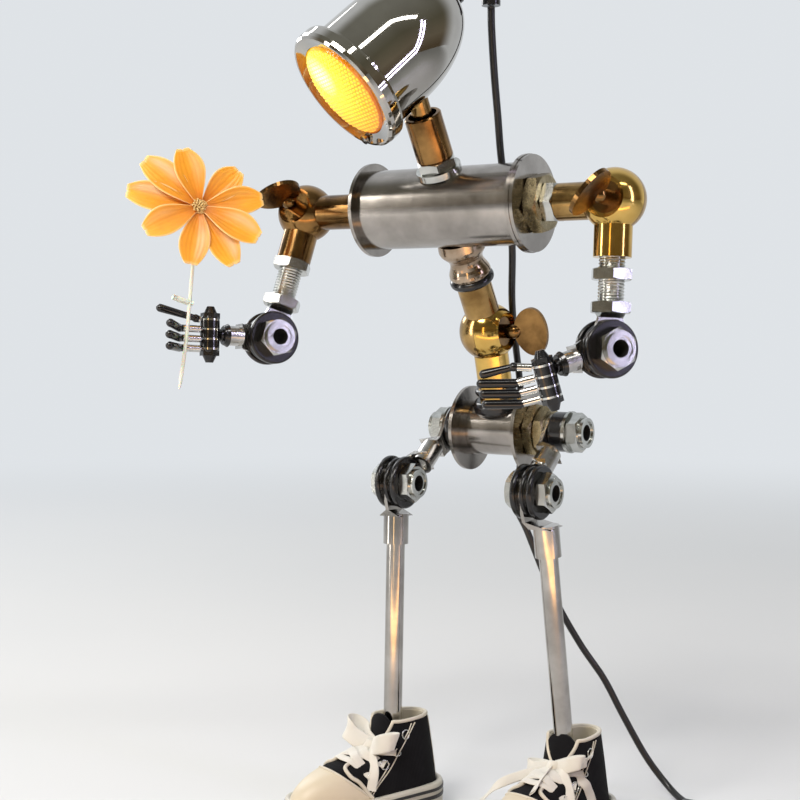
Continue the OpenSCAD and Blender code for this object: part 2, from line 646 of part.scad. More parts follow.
// Ring k of the canvas upper at height z: a heel half ellipse and a toe half ellipse
ring_n = 28;
function front_reach(v) = 48.6 - 10 * pow(v, 2) - 22 * pow(max(0, v - 0.22), 0.8) - 6 * pow(v, 3);
function back_reach(v) = 21.6 - 3.2 * v - 1.2 * v * v;
function half_width(v) = 13.2 - 3.6 * v;
function upper_ring(v, inset, z) = [for (k = [0:ring_n - 1]) let (
    a = 360 * k / ring_n,
    front = sin(a) < 0,
    reach = (front ? front_reach(v) : back_reach(v)) - inset,
    power = front ? 0.85 : 0.9,
    y = reach * sign(sin(a)) * pow(abs(sin(a)), power),
    x = (half_width(v) + (front ? 1.2 * (1 - v) : 0) - inset) * sign(cos(a)) * pow(abs(cos(a)), 0.9)
  ) [x, y, z]];
levels = [0, 0.05, 0.13, 0.25, 0.38, 0.52, 0.68, 0.84, 1];
module shoe_upper() color([0.1, 0.1, 0.12]) {
  low = insole_z;
  high = collar_h;
  outer = [for (v = levels) upper_ring(v, v < 0.06 ? 2.7 : 0, low + v * (high - low))];
  inner = [for (i = [len(levels) - 1:-1:0]) let (v = levels[i])
    upper_ring(v, canvas_t + (v < 0.06 ? 2.7 : 0), max(floor_z, low + v * (high - low)))];
  rings = concat(outer, inner);
  points = concat([for (r = rings) each r], [[0, 0, low], [0, 0, floor_z]]);
  rows = len(rings);
  bottom = rows * ring_n;
  polyhedron(points = points, faces = concat(
    [for (i = [0:rows - 2]) for (k = [0:ring_n - 1]) let (j = (k + 1) % ring_n)
      each [[i * ring_n + k, (i + 1) * ring_n + k, i * ring_n + j],
            [i * ring_n + j, (i + 1) * ring_n + k, (i + 1) * ring_n + j]]],
    [for (k = [0:ring_n - 1]) [bottom, k, (k + 1) % ring_n]],
    [for (k = [0:ring_n - 1]) [bottom + 1, (rows - 1) * ring_n + (k + 1) % ring_n, (rows - 1) * ring_n + k]]
  ));
}

left_shin_tilt = 5;
left_splay = 3;
left_barrel_x = 7;
right_shin_tilt = -2;
right_barrel_x = 1;
right_shoe_turn = -20;
left_shoe_turn = -8;
rod_drop = knee_height - floor_z - 2;
module in_right_shoe() translate([robot_x - knee_x + shin_palm_x + right_barrel_x,
  knee_y + rod_drop * tan(right_shin_tilt), 0]) rotate([0, 0, right_shoe_turn]) children();
module in_left_shoe() translate([
  robot_x + knee_x + shin_palm_x + left_barrel_x + (rod_drop - lug_flat - lug_swell) * tan(left_splay),
  knee_y + rod_drop * tan(left_shin_tilt), 0]) rotate([0, 0, left_shoe_turn]) children();

module left_thigh() thigh(1, left_hip_palm);
module right_thigh() thigh(-1, -right_hip_palm);
module left_knee_bolt_set() in_knee(1) bolt_set();
module right_knee_bolt_set() in_knee(-1) bolt_set();
module left_shin() shin(1, left_shin_tilt, left_barrel_x, left_splay);
module right_shin() shin(-1, right_shin_tilt, right_barrel_x, 0);
module left_shoe_sole() in_left_shoe() shoe_sole();
module right_shoe_sole() in_right_shoe() shoe_sole();
module left_shoe_upper() in_left_shoe() shoe_upper();
module right_shoe_upper() in_right_shoe() shoe_upper();

// ---------------------------------------------------------------- arms
shoulder_x = torso_len / 2 + 2 * disc_t + big_nut_h + zinc_nut_h + swivel_reach + 1;
module in_shoulder(side) in_torso() translate([side * shoulder_x, 0, 0]) rotate([-torso_lean, 0, 0])
  rotate([side > 0 ? -left_arm_pitch : -right_arm_pitch, 0, 0]) children();
// Upper arm frame: the arm hangs down -Z and the clamp screw comes out along -Y.
module in_arm(side) in_shoulder(side) rotate([0, side < 0 ? right_arm_spread : 0, 0]) children();

module shoulder_inner(side) color(bronze) in_shoulder(side)
  // the half with the level tube, towards the torso; the screw lies along Y
  rotate([0, -side * 90, 0]) rotate([0, 0, -90])
    swivel_half(false, (side > 0 ? swivel_reach + 1 : shoulder_x - torso_len / 2 - 2 * disc_t - 2.6) - face_play,
      nipple_d + 2 * run_fit);

module shoulder_outer(side) color(bronze) in_arm(side)
  rotate([0, 180, 0]) rotate([0, 0, 90]) swivel_half(true, swivel_reach, nipple_d);

stud_z = swivel_reach - 8;
stud_nut_h = 4.3;
left_nut_gap = 4.2;
elbow_palm_d = 16.4;
elbow_neck = 10.2;
module in_elbow(side) in_arm(side) translate([0, 0, -upper_arm_len])
  rotate([0, 0, (side > 0 ? left_elbow_turn : right_elbow_turn) - 90]) children();

module arm_stud(side) color(zinc) {
  in_arm(side) {
    translate([0, 0, -upper_arm_len + elbow_neck + 3]) cylinder(d = nipple_d - 0.4, h = upper_arm_len - elbow_neck - 3 - stud_z);
    translate([0, 0, -swivel_reach - stud_nut_h - (side > 0 ? left_nut_gap : 0)])
      nut(nut_af, stud_nut_h, nipple_d - 0.6);
    translate([0, 0, -upper_arm_len + elbow_neck + 3]) nut(nut_af, stud_nut_h, nipple_d - 0.6);
  }
  in_elbow(side) rotate([180, 0, 0]) lug(elbow_palm_d, nipple_d + hole_play, elbow_neck + 4, 8, 0, 0);
}

module elbow_bolt_set(side) in_elbow(side) bolt_set();

// Forearm frame: origin on the elbow's axis, the forearm runs along -Z, the elbow bolt along X.
module in_forearm(side) in_elbow(side)
  rotate([(side > 0 ? left_forearm_drop : right_forearm_drop) - 90, 0, 0]) children();
forearm_d = 8.2;
knuckle_x = shin_palm_x / 2;
block_h = digit_pitch - eye_t - 2 * face_play;
// The forearm carries the left hand by its top block, and the right hand by its middle block.
function stack_y(side) = side > 0 ? digit_pitch : 0;
module dome_nut(af, h) {
  cylinder(d = af / cos(30), h = h * 0.45, $fn = 6);
  cylinder(d1 = af + 0.8, d2 = af * 0.45, h = h);
}
module forearm(side) in_forearm(side) {
  color(tinned) translate([shin_palm_x, 0, 0])
    lug(elbow_palm_d, nipple_d + hole_play, 21, forearm_d, 5.2, -shin_palm_x / 2);
  color(black) translate([knuckle_x, 0, -forearm_len]) {
    translate([0, 0, eye_d / 2 + 1.6]) cylinder(d1 = 7.4, d2 = 9.6, h = 2);
    translate([0, 0, eye_d / 2 + 0.3]) cylinder(d = 5, h = 7);
    translate([0, 0, 2]) cylinder(d = block_h - 0.5, h = eye_d / 2 - 1);
    translate([0, stack_y(side), 0]) rotate([90, 0, 0]) {
      for (i = [-1:1]) translate([0, 0, i * digit_pitch - block_h / 2]) cylinder(d = eye_d, h = block_h);
      translate([0, 0, -2 * digit_pitch]) cylinder(d = knuckle_d, h = 4 * digit_pitch);
      for (end = [0, 1]) mirror([0, 0, end])
        translate([0, 0, 1.5 * digit_pitch + eye_t / 2 + face_play]) dome_nut(7, 5);
    }
  }
}

// Thumb (level -1.5) or finger: a ring eye on the knuckle bolt, a bare barrel and a coated tip.
// turn swings the digit round the bolt and rise raises its barrel; curl and lift turn the tip.
module digit(side, level, turn, rise, curl, lift, bare = finger_barrel_len, tip = finger_tip_len, thin = 0) {
  edge = eye_d / 2 + 0.4;
  in_forearm(side) translate([knuckle_x, stack_y(side) + level * digit_pitch, -forearm_len]) rotate([0, turn, 0]) {
    color(tinned) difference() {
      union() {
        rotate([90, 0, 0]) cylinder(d = eye_d, h = eye_t, center = true);
        translate([-finger_d / 2 + 0.2, -eye_t / 2, -eye_d / 2 - 1]) cube([finger_d - 0.4, eye_t, 3]);
        translate([0, 0, -edge]) rotate([-rise, 0, 0]) translate([0, 0, edge - bare])
          cylinder(d = finger_d, h = bare - edge);
      }
      rotate([90, 0, 0]) cylinder(d = knuckle_d + 2 * run_fit, h = 4, center = true);
    }
    color(black) translate([0, 0, -edge]) rotate([-rise, 0, 0]) translate([0, 0, edge - bare]) {
      sphere(d = finger_tip_d, $fn = 32);
      rotate([-lift, curl, 0]) translate([0, 0, finger_tip_d / 2 - tip])
        cylinder(d1 = finger_tip_d, d2 = finger_tip_d - thin, h = tip - finger_tip_d / 2);
      rotate([-lift, curl, 0]) translate([0, 0, finger_tip_d / 2 - tip]) sphere(d = finger_tip_d - 0.06, $fn = 32);
    }
  }
}

module left_thumb() digit(1, -1.5, 29, 17, 0, -16, 11, 13, 0.8);
module left_finger_1() digit(1, -0.5, 29, 0, 0, 14);
module left_finger_2() digit(1, 0.5, 29, 0, 0, 14);
module left_finger_3() digit(1, 1.5, 29, 0, 0, 14);
right_bare = 13.2;
module right_thumb() digit(-1, -1.5, 4, 12, 0, 1, 6.2, 17, 0.8);
module right_finger_1() digit(-1, -0.5, 0, 0, -50, 6, right_bare, 12.5);
module right_finger_2() digit(-1, 0.5, 0, 0, -49, 3, right_bare, 12.5);
module right_finger_3() digit(-1, 1.5, 0, 0, -50, 0, right_bare, 12.5);

module left_shoulder_inner() shoulder_inner(1);
module right_shoulder_inner() shoulder_inner(-1);
module left_shoulder_outer() shoulder_outer(1);
module right_shoulder_outer() shoulder_outer(-1);
module left_arm_stud() arm_stud(1);
module right_arm_stud() arm_stud(-1);
module left_elbow_bolt_set() elbow_bolt_set(1);
module right_elbow_bolt_set() elbow_bolt_set(-1);
module left_forearm() forearm(1);
module right_forearm() forearm(-1);
module waist_key() in_waist_ball() thumb_key(0);
module left_shoulder_key() in_arm(1) rotate([0, 0, -90]) thumb_key(-40);
module right_shoulder_key() in_arm(-1) rotate([0, 0, -90]) thumb_key(-60);

// ---------------------------------------------------------------- flower
// Stem frame: +Z runs up the stem, which the right hand's fingertips curl round.
stem_up = 50.5;
stem_down = 23;
module in_stem() in_forearm(-1)
  translate([knuckle_x + finger_tip_d / 2 + stem_d / 2 + 0.9, 0, -forearm_len - right_bare + 1.5])
    rotate([85.5, 0, 3]) children();

module flower_stem() color("honeydew") in_stem() {
  translate([0, 0, -stem_down]) cylinder(d = stem_d, h = stem_down + stem_up, $fn = 24);
  translate([0, 0, 12.4]) rotate([98, 0, 6]) translate([0, 0, -1]) cylinder(d = 2.5, h = 9, $fn = 24);
}

// Petals at the real flower's uneven angles, drawn with the flower facing +Z, on a small eye and a calyx
petal_at = [8, 49, 98, 137, 168, 209, 267, 304, 333];
petal_scale = [0.93, 0.84, 0.88, 1, 1, 0.87, 0.88, 1, 0.97];
function petal_half(u) = petal_w / 2 * pow(sin(14 + 152 * pow(u, 1.25)), 0.75);
module petal(reach) linear_extrude(petal_t) polygon(concat(
  [for (i = [0:10]) let (u = i / 10) [2 + (reach - 2) * u, petal_half(u)]],
  [for (i = [10:-1:0]) let (u = i / 10) [2 + (reach - 2) * u, -petal_half(u)]]
));
module flower_head() color("orange") in_stem() difference() {
  translate([0, 0, stem_up]) rotate([-90, 0, 0]) rotate([0, 108, 0]) rotate([12, 0, 0]) translate([0, 0, 2]) {
    for (i = [0:len(petal_at) - 1]) translate([0, 0, (i % 3 - 1) * (petal_t + 0.15)])
      rotate([0, 0, petal_at[i]]) rotate([0, -9, 0]) petal(petal_reach * petal_scale[i]);
    translate([0, 0, -3]) cylinder(d1 = 3.4, d2 = 6.2, h = 3.7);
    translate([0, 0, 0.7]) cylinder(d1 = 6.2, d2 = 4.4, h = 1.9);
  }
  translate([0, 0, stem_up - 12]) cylinder(d = stem_d + hole_play, h = 12.05);
}

// ---------------------------------------------------------------- cord
// The cord hangs from the gland behind the robot and runs off over the table, past the left shoe.
// Its route is a free curve through these points.
route = [
  [15.5, 6.7, 331.4], [15.5, 7.1, 322.7], [15.2, 9.8, 306], [14.2, 14.5, 290], [13, 20, 272], [14, 25, 254], [13, 29, 237], [8, 38, 217],
  [3, 50, 200], [0, 60, 181], [-1, 64.5, 162], [-2, 64, 145], [-1.5, 60, 128], [4, 60, 116.5],
  [12, 69, 88], [20, 79, 66], [29, 85, 50], [37, 88, 34], [47, 90, 17], [57, 90, 6],
  [66, 85.5, 2], [75, 81, 1.7], [82, 75, 1.9], [84, 66, 3]
];
cord_sides = 8;
cord_steps = 3;
function spline(a, b, c, d, t) = 0.5 * (2 * b + (c - a) * t + (2 * a - 5 * b + 4 * c - d) * t * t
  + (3 * b - a - 3 * c + d) * t * t * t);
function route_point(i, t) = spline(route[max(0, i - 1)], route[i], route[i + 1],
  route[min(len(route) - 1, i + 2)], t);
cord_line = concat(
  [for (i = [0:len(route) - 2]) for (k = [0:cord_steps - 1]) route_point(i, k / cord_steps)],
  [route[len(route) - 1]]
);
function unit(v) = v / norm(v);
module in_stand() translate([robot_x, robot_y, 0]) children();
module cord_lead() color(black) in_stand() {
  n = len(cord_line);
  points = [for (i = [0:n - 1]) let (
      along = unit(cord_line[min(n - 1, i + 1)] - cord_line[max(0, i - 1)]),
      side = unit(cross(along, [0, 1, 0])),
      face = cross(side, along)
    ) for (k = [0:cord_sides - 1]) let (a = 360 * k / cord_sides)
      cord_line[i] + cord_d / 2 * (cos(a) * side + sin(a) * face)];
  polyhedron(points = points, faces = concat(
    [[for (k = [0:cord_sides - 1]) k]],
    [for (i = [0:n - 2]) for (k = [0:cord_sides - 1]) let (j = (k + 1) % cord_sides)
      each [[i * cord_sides + k, (i + 1) * cord_sides + k, i * cord_sides + j],
            [i * cord_sides + j, (i + 1) * cord_sides + k, (i + 1) * cord_sides + j]]],
    [[for (k = [cord_sides - 1:-1:0]) (n - 1) * cord_sides + k]]
  ));
}

// In-line switch on the cord, then the bundled rest of the cord, then the plug
switch_at = [84, 45, 0];
switch_len = 40;
switch_w = 17;
switch_h = 12;
coil_r_in = 12.4;
coil_r_out = 21.8;
coil_h = 12.2;
coil_at = [switch_at[0] + coil_r_out - cord_d / 2 - 0.1, 4, 0];
module cord_coil() color(black) in_stand() {
  translate(coil_at) rotate_extrude($fn = 64) polygon([
    [coil_r_in + 2, 0], [coil_r_out - 2, 0], [coil_r_out, 2], [coil_r_out, coil_h - 2],
    [coil_r_out - 2, coil_h], [coil_r_in + 2, coil_h], [coil_r_in, coil_h - 2], [coil_r_in, 2]
  ]);
  translate([switch_at[0], coil_at[1], 3]) rotate([-90, 0, 0])
    cylinder(d = cord_d, h = switch_at[1] - switch_len / 2 - coil_at[1] - 0.1, $fn = 24);
  translate([plug_at[0], coil_at[1], plug_at[2]]) rotate([-90, 0, 0])
    cylinder(d = cord_d, h = plug_back, $fn = 24);
}

rocker_w = 8;
rocker_len = 13;
module inline_switch() color(black) in_stand() translate(switch_at) difference() {
  union() {
    rotate([90, 0, 0]) linear_extrude(switch_len - 10, center = true)
      translate([-switch_w / 2, 0]) offset(r = 3) offset(delta = -3) square([switch_w, switch_h]);
    for (end = [0, 1]) mirror([0, end, 0]) translate([0, switch_len / 2 - 5, 0]) rotate([-90, 0, 0])
      translate([0, -4.2, 0]) cylinder(d1 = 8, d2 = 5, h = 5);
  }
  translate([-rocker_w / 2 - 0.3, -rocker_len / 2 - 0.4, switch_h - 5]) cube([rocker_w + 0.6, rocker_len + 0.8, 8]);
}
rocker_z = switch_h - 1.6;
module switch_rocker() color(black) in_stand() translate([switch_at[0], switch_at[1], rocker_z]) rotate([9, 0, 0])
  rotate([90, 0, 90]) linear_extrude(rocker_w, center = true) polygon([
    [-rocker_len / 2 + 0.4, 0.8], [-rocker_len / 2 + 1, -1.2], [0, -2.4], [rocker_len / 2 - 1, -1.2],
    [rocker_len / 2 - 0.4, 0.8], [rocker_len / 2 - 0.6, 2.4], [0, 1.6], [-rocker_len / 2 + 0.6, 2.4]
  ]);

plug_body = [14, 27, 14];
plug_tail_d = 5;
// The cord leaves the coil's outside straight, and the plug starts once its tail clears the coil.
plug_back = sqrt(pow(coil_r_out, 2) - pow(coil_r_out - cord_d / 2 - plug_tail_d / 2 - 0.4, 2));
plug_at = [coil_at[0] + coil_r_out - cord_d / 2, coil_at[1] + plug_back, 7];
module plug() color(black) in_stand() translate(plug_at) {
  rotate([-90, 0, 0]) cylinder(d1 = plug_tail_d, d2 = 8.5, h = 12);
  translate([0, 11, 0]) rotate([-90, 0, 0]) linear_extrude(plug_body[1])
    offset(r = 3) offset(delta = -3) square([plug_body[0], plug_body[2]], center = true);
  for (side = [-1, 1]) translate([side * 3.4, 11 + plug_body[1] - 1, 0]) rotate([-90, 0, 0]) {
    cylinder(d = 2.4, h = 16, $fn = 24);
    translate([0, 0, 16]) sphere(d = 2.4, $fn = 24);
  }
}

head_shell();
trim_ring();
lens();
reflector();
bulb();
cord_gland();
head_stud();
neck_tube();
torso_tube();
torso_discs();
torso_axle();
torso_bronze_nut();
waist_flare();
waist_o_ring();
waist_swivel_upper();
waist_swivel_lower();
waist_rings();
pelvis_tube();
pelvis_discs();
pelvis_axle();
hip_bronze_nuts();
hip_washers();
waist_key();
left_shoulder_key();
right_shoulder_key();
left_shoulder_inner();
right_shoulder_inner();
left_shoulder_outer();
right_shoulder_outer();
left_arm_stud();
right_arm_stud();
left_elbow_bolt_set();
right_elbow_bolt_set();
left_forearm();
right_forearm();
left_thumb();
left_finger_1();
left_finger_2();
left_finger_3();
right_thumb();
right_finger_1();
right_finger_2();
right_finger_3();
left_thigh();
right_thigh();
left_knee_bolt_set();
right_knee_bolt_set();
left_shin();
right_shin();
left_shoe_sole();
right_shoe_sole();
left_shoe_upper();
right_shoe_upper();
flower_head();
flower_stem();
cord_lead();
cord_coil();
plug();
inline_switch();
switch_rocker();
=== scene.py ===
"""Looks of the hardware robot lamp: materials on its metal pieces, and the lens, threads,
sneakers, laces, flower and cord as new pieces. Shapes are worked out in millimetres."""
import json
import math

import bpy
import numpy as np
from mathutils import Matrix


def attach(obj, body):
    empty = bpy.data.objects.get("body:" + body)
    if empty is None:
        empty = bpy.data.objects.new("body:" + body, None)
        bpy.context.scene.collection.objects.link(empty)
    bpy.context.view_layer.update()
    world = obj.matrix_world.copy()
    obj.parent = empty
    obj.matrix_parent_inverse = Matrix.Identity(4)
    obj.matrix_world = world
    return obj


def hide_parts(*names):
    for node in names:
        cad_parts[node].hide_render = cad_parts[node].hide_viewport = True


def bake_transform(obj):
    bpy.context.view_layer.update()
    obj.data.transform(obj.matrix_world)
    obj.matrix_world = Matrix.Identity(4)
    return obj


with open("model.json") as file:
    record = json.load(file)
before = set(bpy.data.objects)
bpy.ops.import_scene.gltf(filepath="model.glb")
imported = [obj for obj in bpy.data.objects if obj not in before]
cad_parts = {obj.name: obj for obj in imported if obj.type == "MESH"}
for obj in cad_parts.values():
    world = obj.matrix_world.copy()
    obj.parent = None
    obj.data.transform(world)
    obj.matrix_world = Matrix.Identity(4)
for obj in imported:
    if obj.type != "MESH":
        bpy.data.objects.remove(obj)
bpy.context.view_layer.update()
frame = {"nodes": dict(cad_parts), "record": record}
MM = 0.001
RECORD = frame["record"]
NODES = frame["nodes"]
JOINTS = {j["name"]: j for j in RECORD["behaviour"]["joints"]}


# ---------------- places
def shift(x, y, z):
    """A 4 by 4 matrix that moves by x, y, z millimetres."""
    m = np.eye(4)
    m[:3, 3] = [x, y, z]
    return m


def turn(axis, degrees):
    """A 4 by 4 matrix that turns by the right-hand rule about one of the axes x, y, z."""
    c, s = math.cos(math.radians(degrees)), math.sin(math.radians(degrees))
    i, j = {"x": (1, 2), "y": (2, 0), "z": (0, 1)}[axis]
    m = np.eye(4)
    m[i, i] = m[j, j] = c
    m[i, j], m[j, i] = -s, s
    return m


def at(matrix, points):
    """Carries an array of points, in millimetres, through a 4 by 4 matrix."""
    p = np.asarray(points, float)
    return p @ matrix[:3, :3].T + matrix[:3, 3]


def joint_point(name):
    """A joint's place in the row frame, in millimetres."""
    return np.array(JOINTS[name]["pos_m"]) / MM


# Sizes repeated from the part's source, in millimetres and degrees; side 1 is left and -1 right
WAIST_UP, WAIST_DOWN, WAIST_LEAN, TORSO_LEAN = 58.2, 43.2, 15.5, 31.5
NECK_BASE, NECK_LEN = 21.6, 18.4
HEAD_LEN, HEAD_DOWN, HEAD_YAW, HEAD_ROLL = 61, 41, 32, -1.5
HEAD_CLEAR, HEAD_ALONG, TRIM_D, BEVEL_W = 26.6, 21, 51.6, 5.8
SHOULDER_X, UPPER_ARM, FOREARM = 71.1, 55.5, 27
DROP = {1: 19, -1: 15.5}
ARM_PITCH = {1: 4, -1: 19}
ARM_SPREAD = {1: 0, -1: 5}
ELBOW_TURN = {1: 55, -1: 62}
DIGIT_PITCH, EYE_D, PALM_T, FACE_PLAY, MID_RUBBER = 4, 8, 1.5, 0.1, 1.7
OUT_RUBBER = 2.4
KNEE_X, KNEE_Z, HIP_Y = 32, 140.5, 43.5
NIPPLE_D, NIPPLE_BORE, SWIVEL_REACH = 9.7, 6.6, 21.5
SHIN_PALM_X = -PALM_T - MID_RUBBER - 2 * FACE_PLAY
KNUCKLE_X = SHIN_PALM_X / 2
SIDES = {"left": 1, "right": -1}

HIP = joint_point("left_hip_bend")
PELVIS = shift(*HIP)
LOWER_WAIST = PELVIS @ turn("x", WAIST_LEAN)
BALL = LOWER_WAIST @ shift(0, 0, WAIST_DOWN)
TORSO = BALL @ turn("x", TORSO_LEAN - WAIST_LEAN) @ shift(0, 0, WAIST_UP)
HEAD = (TORSO @ shift(0, 0, NECK_BASE + NECK_LEN) @ turn("x", -TORSO_LEAN) @ turn("z", -HEAD_YAW)
        @ turn("x", 90 + HEAD_DOWN) @ turn("z", -HEAD_ROLL) @ shift(0, HEAD_CLEAR, HEAD_ALONG - HEAD_LEN))
STAND = shift(HIP[0], HIP[1] - HIP_Y, 0)
ARM, ELBOW, FOREARMS = {}, {}, {}
for s in (1, -1):
    ARM[s] = (TORSO @ shift(s * SHOULDER_X, 0, 0) @ turn("x", -TORSO_LEAN - ARM_PITCH[s])
              @ turn("y", ARM_SPREAD[s]))
    ELBOW[s] = ARM[s] @ shift(0, 0, -UPPER_ARM) @ turn("z", ELBOW_TURN[s] - 90)
    FOREARMS[s] = ELBOW[s] @ turn("x", DROP[s] - 90)


def knee(s):
    """The frame of a knee: its origin on the knee bolt."""
    return shift(*joint_point("left_knee_bend" if s > 0 else "right_knee_bend"))


# ---------------- meshes
def add_mesh(name, points, faces, material, smooth=True):
    """An object at the origin from points in millimetres and faces as index tuples."""
    mesh = bpy.data.meshes.new(name)
    mesh.from_pydata((np.asarray(points, float) * MM).tolist(), [], [tuple(map(int, f)) for f in faces])
    mesh.validate()
    mesh.polygons.foreach_set("use_smooth", [smooth] * len(mesh.polygons))
    obj = bpy.data.objects.new(name, mesh)
    bpy.context.scene.collection.objects.link(obj)
    mesh.materials.append(material)
    return obj


def grid_faces(rows, cols, wrap_rows=False, wrap_cols=False, start=0):
    """Quads between the rows and columns of a grid of points, closed on themselves where asked."""
    i = np.arange(rows if wrap_rows else rows - 1)
    j = np.arange(cols if wrap_cols else cols - 1)
    i, j = np.meshgrid(i, j, indexing="ij")
    k, l = (i + 1) % rows, (j + 1) % cols
    quads = np.stack([i * cols + j, k * cols + j, k * cols + l, i * cols + l], -1).reshape(-1, 4)
    return (quads + start).tolist()


def volume(points, faces):
    """Signed volume that a closed mesh holds: the sum of its faces' pyramids to the origin."""
    total = 0.0
    p = np.asarray(points, float)
    for size in {len(f) for f in faces}:
        f = np.array([x for x in faces if len(x) == size])
        for c in range(1, size - 1):
            total += np.einsum("ij,ij->i", p[f[:, 0]], np.cross(p[f[:, c]], p[f[:, c + 1]])).sum() / 6
    return total


def closed_parts(parts):
    """Joins closed (points, faces) parts into one list, each with its faces turned outwards."""
    points, faces, start = [], [], 0
    for p, f in parts:
        if volume(np.asarray(p) - np.mean(p, 0), f) < 0:
            f = [x[::-1] for x in f]
        points.append(np.asarray(p, float))
        faces += [[v + start for v in x] for x in f]
        start += len(p)
    return np.concatenate(points), faces


def unit(v):
    """A vector, or each of an array of vectors, brought to length 1."""
    v = np.asarray(v, float)
    return v / np.maximum(np.linalg.norm(v, axis=-1, keepdims=True), 1e-12)


def tangents(path, closed=False):
    """Unit directions along a path: the difference of each point's two neighbours."""
    p = np.asarray(path, float)
    return unit(np.roll(p, -1, 0) - np.roll(p, 1, 0) if closed else np.gradient(p, axis=0))


def smooth_path(points, count, closed=False):
    """A smooth curve through points: a Catmull-Rom spline, sampled count times at equal steps of length."""
    p = np.asarray(points, float)
    before, after = (p[-1:], p[:2]) if closed else (2 * p[:1] - p[1:2], 2 * p[-1:] - p[-2:-1])
    p = np.concatenate([before, p, after])
    t = np.linspace(0, 1, 16, endpoint=False)[:, None]
    a, b, c, d = p[:-3], p[1:-2], p[2:-1], p[3:]
    seg = [0.5 * (2 * b[i] + (c[i] - a[i]) * t + (2 * a[i] - 5 * b[i] + 4 * c[i] - d[i]) * t ** 2
                  + (3 * b[i] - a[i] - 3 * c[i] + d[i]) * t ** 3) for i in range(len(a))]
    fine = np.concatenate(seg + [c[-1:]])
    length = np.concatenate([[0], np.cumsum(np.linalg.norm(np.diff(fine, axis=0), axis=1))])
    want = np.linspace(0, length[-1], count, endpoint=not closed)
    return np.stack([np.interp(want, length, fine[:, k]) for k in range(3)], 1)


def sweep(path, outline, up=(0, 0, 1), scale=None, spin=None, closed=False):
    """A closed outline carried along a path. Across the path the outline's first number lies
    along up x direction and its second along the rest of up; scale sizes it and spin turns it, in degrees."""
    p = np.asarray(path, float)
    t = tangents(p, closed)
    up = np.broadcast_to(np.asarray(up, float), t.shape)
    side = unit(np.cross(up, t))
    top = np.cross(t, side)
    n, o = len(p), np.asarray(outline, float)
    size = np.ones(n) if scale is None else np.broadcast_to(scale, n)
    angle = np.zeros(n) if spin is None else np.radians(spin)
    c, s = np.cos(angle)[:, None], np.sin(angle)[:, None]
    a = (o[None, :, 0] * c - o[None, :, 1] * s) * size[:, None]
    b = (o[None, :, 0] * s + o[None, :, 1] * c) * size[:, None]
    pts = p[:, None] + a[..., None] * side[:, None] + b[..., None] * top[:, None]
    faces = grid_faces(n, len(o), wrap_rows=closed, wrap_cols=True)
    if not closed:
        faces += [list(range(len(o)))[::-1], [(n - 1) * len(o) + k for k in range(len(o))]]
    return pts.reshape(-1, 3), faces


def circle(count):
    """Angles at equal steps round a circle, in radians."""
    return np.linspace(0, 2 * np.pi, count, endpoint=False)


def ring_outline(r, sides):
    """Points on a circle of radius r."""
    a = circle(sides)
    return np.stack([r * np.cos(a), r * np.sin(a)], 1)


def flat_outline(width, thick):
    """A ribbon's cross-section: a flat oval, width by thick, |x|^4 + |y|^2 = 1 to scale."""
    a = circle(12)
    return np.stack([width / 2 * np.sign(np.cos(a)) * np.abs(np.cos(a)) ** 0.5,
                     thick / 2 * np.sin(a)], 1)


def turned(profile, a):
    """A grid of points: each (radius, height) of a half outline carried round +Z to the angles a."""
    r, z = np.asarray(profile, float).T[..., None]
    return np.stack([r * np.cos(a), r * np.sin(a), np.broadcast_to(z, (len(profile), len(a)))], -1)


def revolve(profile, frame4, turns):
    """A closed half outline (radius, height) turned round the frame's +Z."""
    pts = turned(profile, circle(turns)).reshape(-1, 3)
    return at(frame4, pts), grid_faces(len(profile), turns, wrap_rows=True, wrap_cols=True)


def patch(outer, inner):
    """A closed plate from two grids that lie one over the other."""
    rows, cols = outer.shape[:2]
    n = rows * cols
    index = np.arange(n).reshape(rows, cols)
    edge = np.concatenate([index[0], index[1:, -1], index[-1, -2::-1], index[-2:0:-1, 0]])
    nxt = np.roll(edge, -1)
    faces = grid_faces(rows, cols) + [f[::-1] for f in grid_faces(rows, cols, start=n)]
    faces += np.stack([edge, edge + n, nxt + n, nxt], 1)[:, ::-1].tolist()
    return np.concatenate([outer.reshape(-1, 3), inner.reshape(-1, 3)]), faces


def torus(centre, axis, r, thin):
    """A ring of radius r and thickness thin about an axis."""
    axis = unit(axis)
    u = unit(np.cross(axis, [0.3, 0.9, 0.1]))
    v = np.cross(axis, u)
    a = circle(24)[:, None]
    path = np.asarray(centre) + r * (np.cos(a) * u + np.sin(a) * v)
    return sweep(path, ring_outline(thin / 2, 8), up=axis, closed=True)


def new_piece(name, parts, look, body, stands_for=None, smooth=True):
    """One object from closed parts, tied to its body and the node that it stands for."""
    piece = add_mesh(name, *closed_parts(parts), look.mat, smooth)
    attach(piece, body)
    if stands_for:
        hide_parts(stands_for)
    return piece


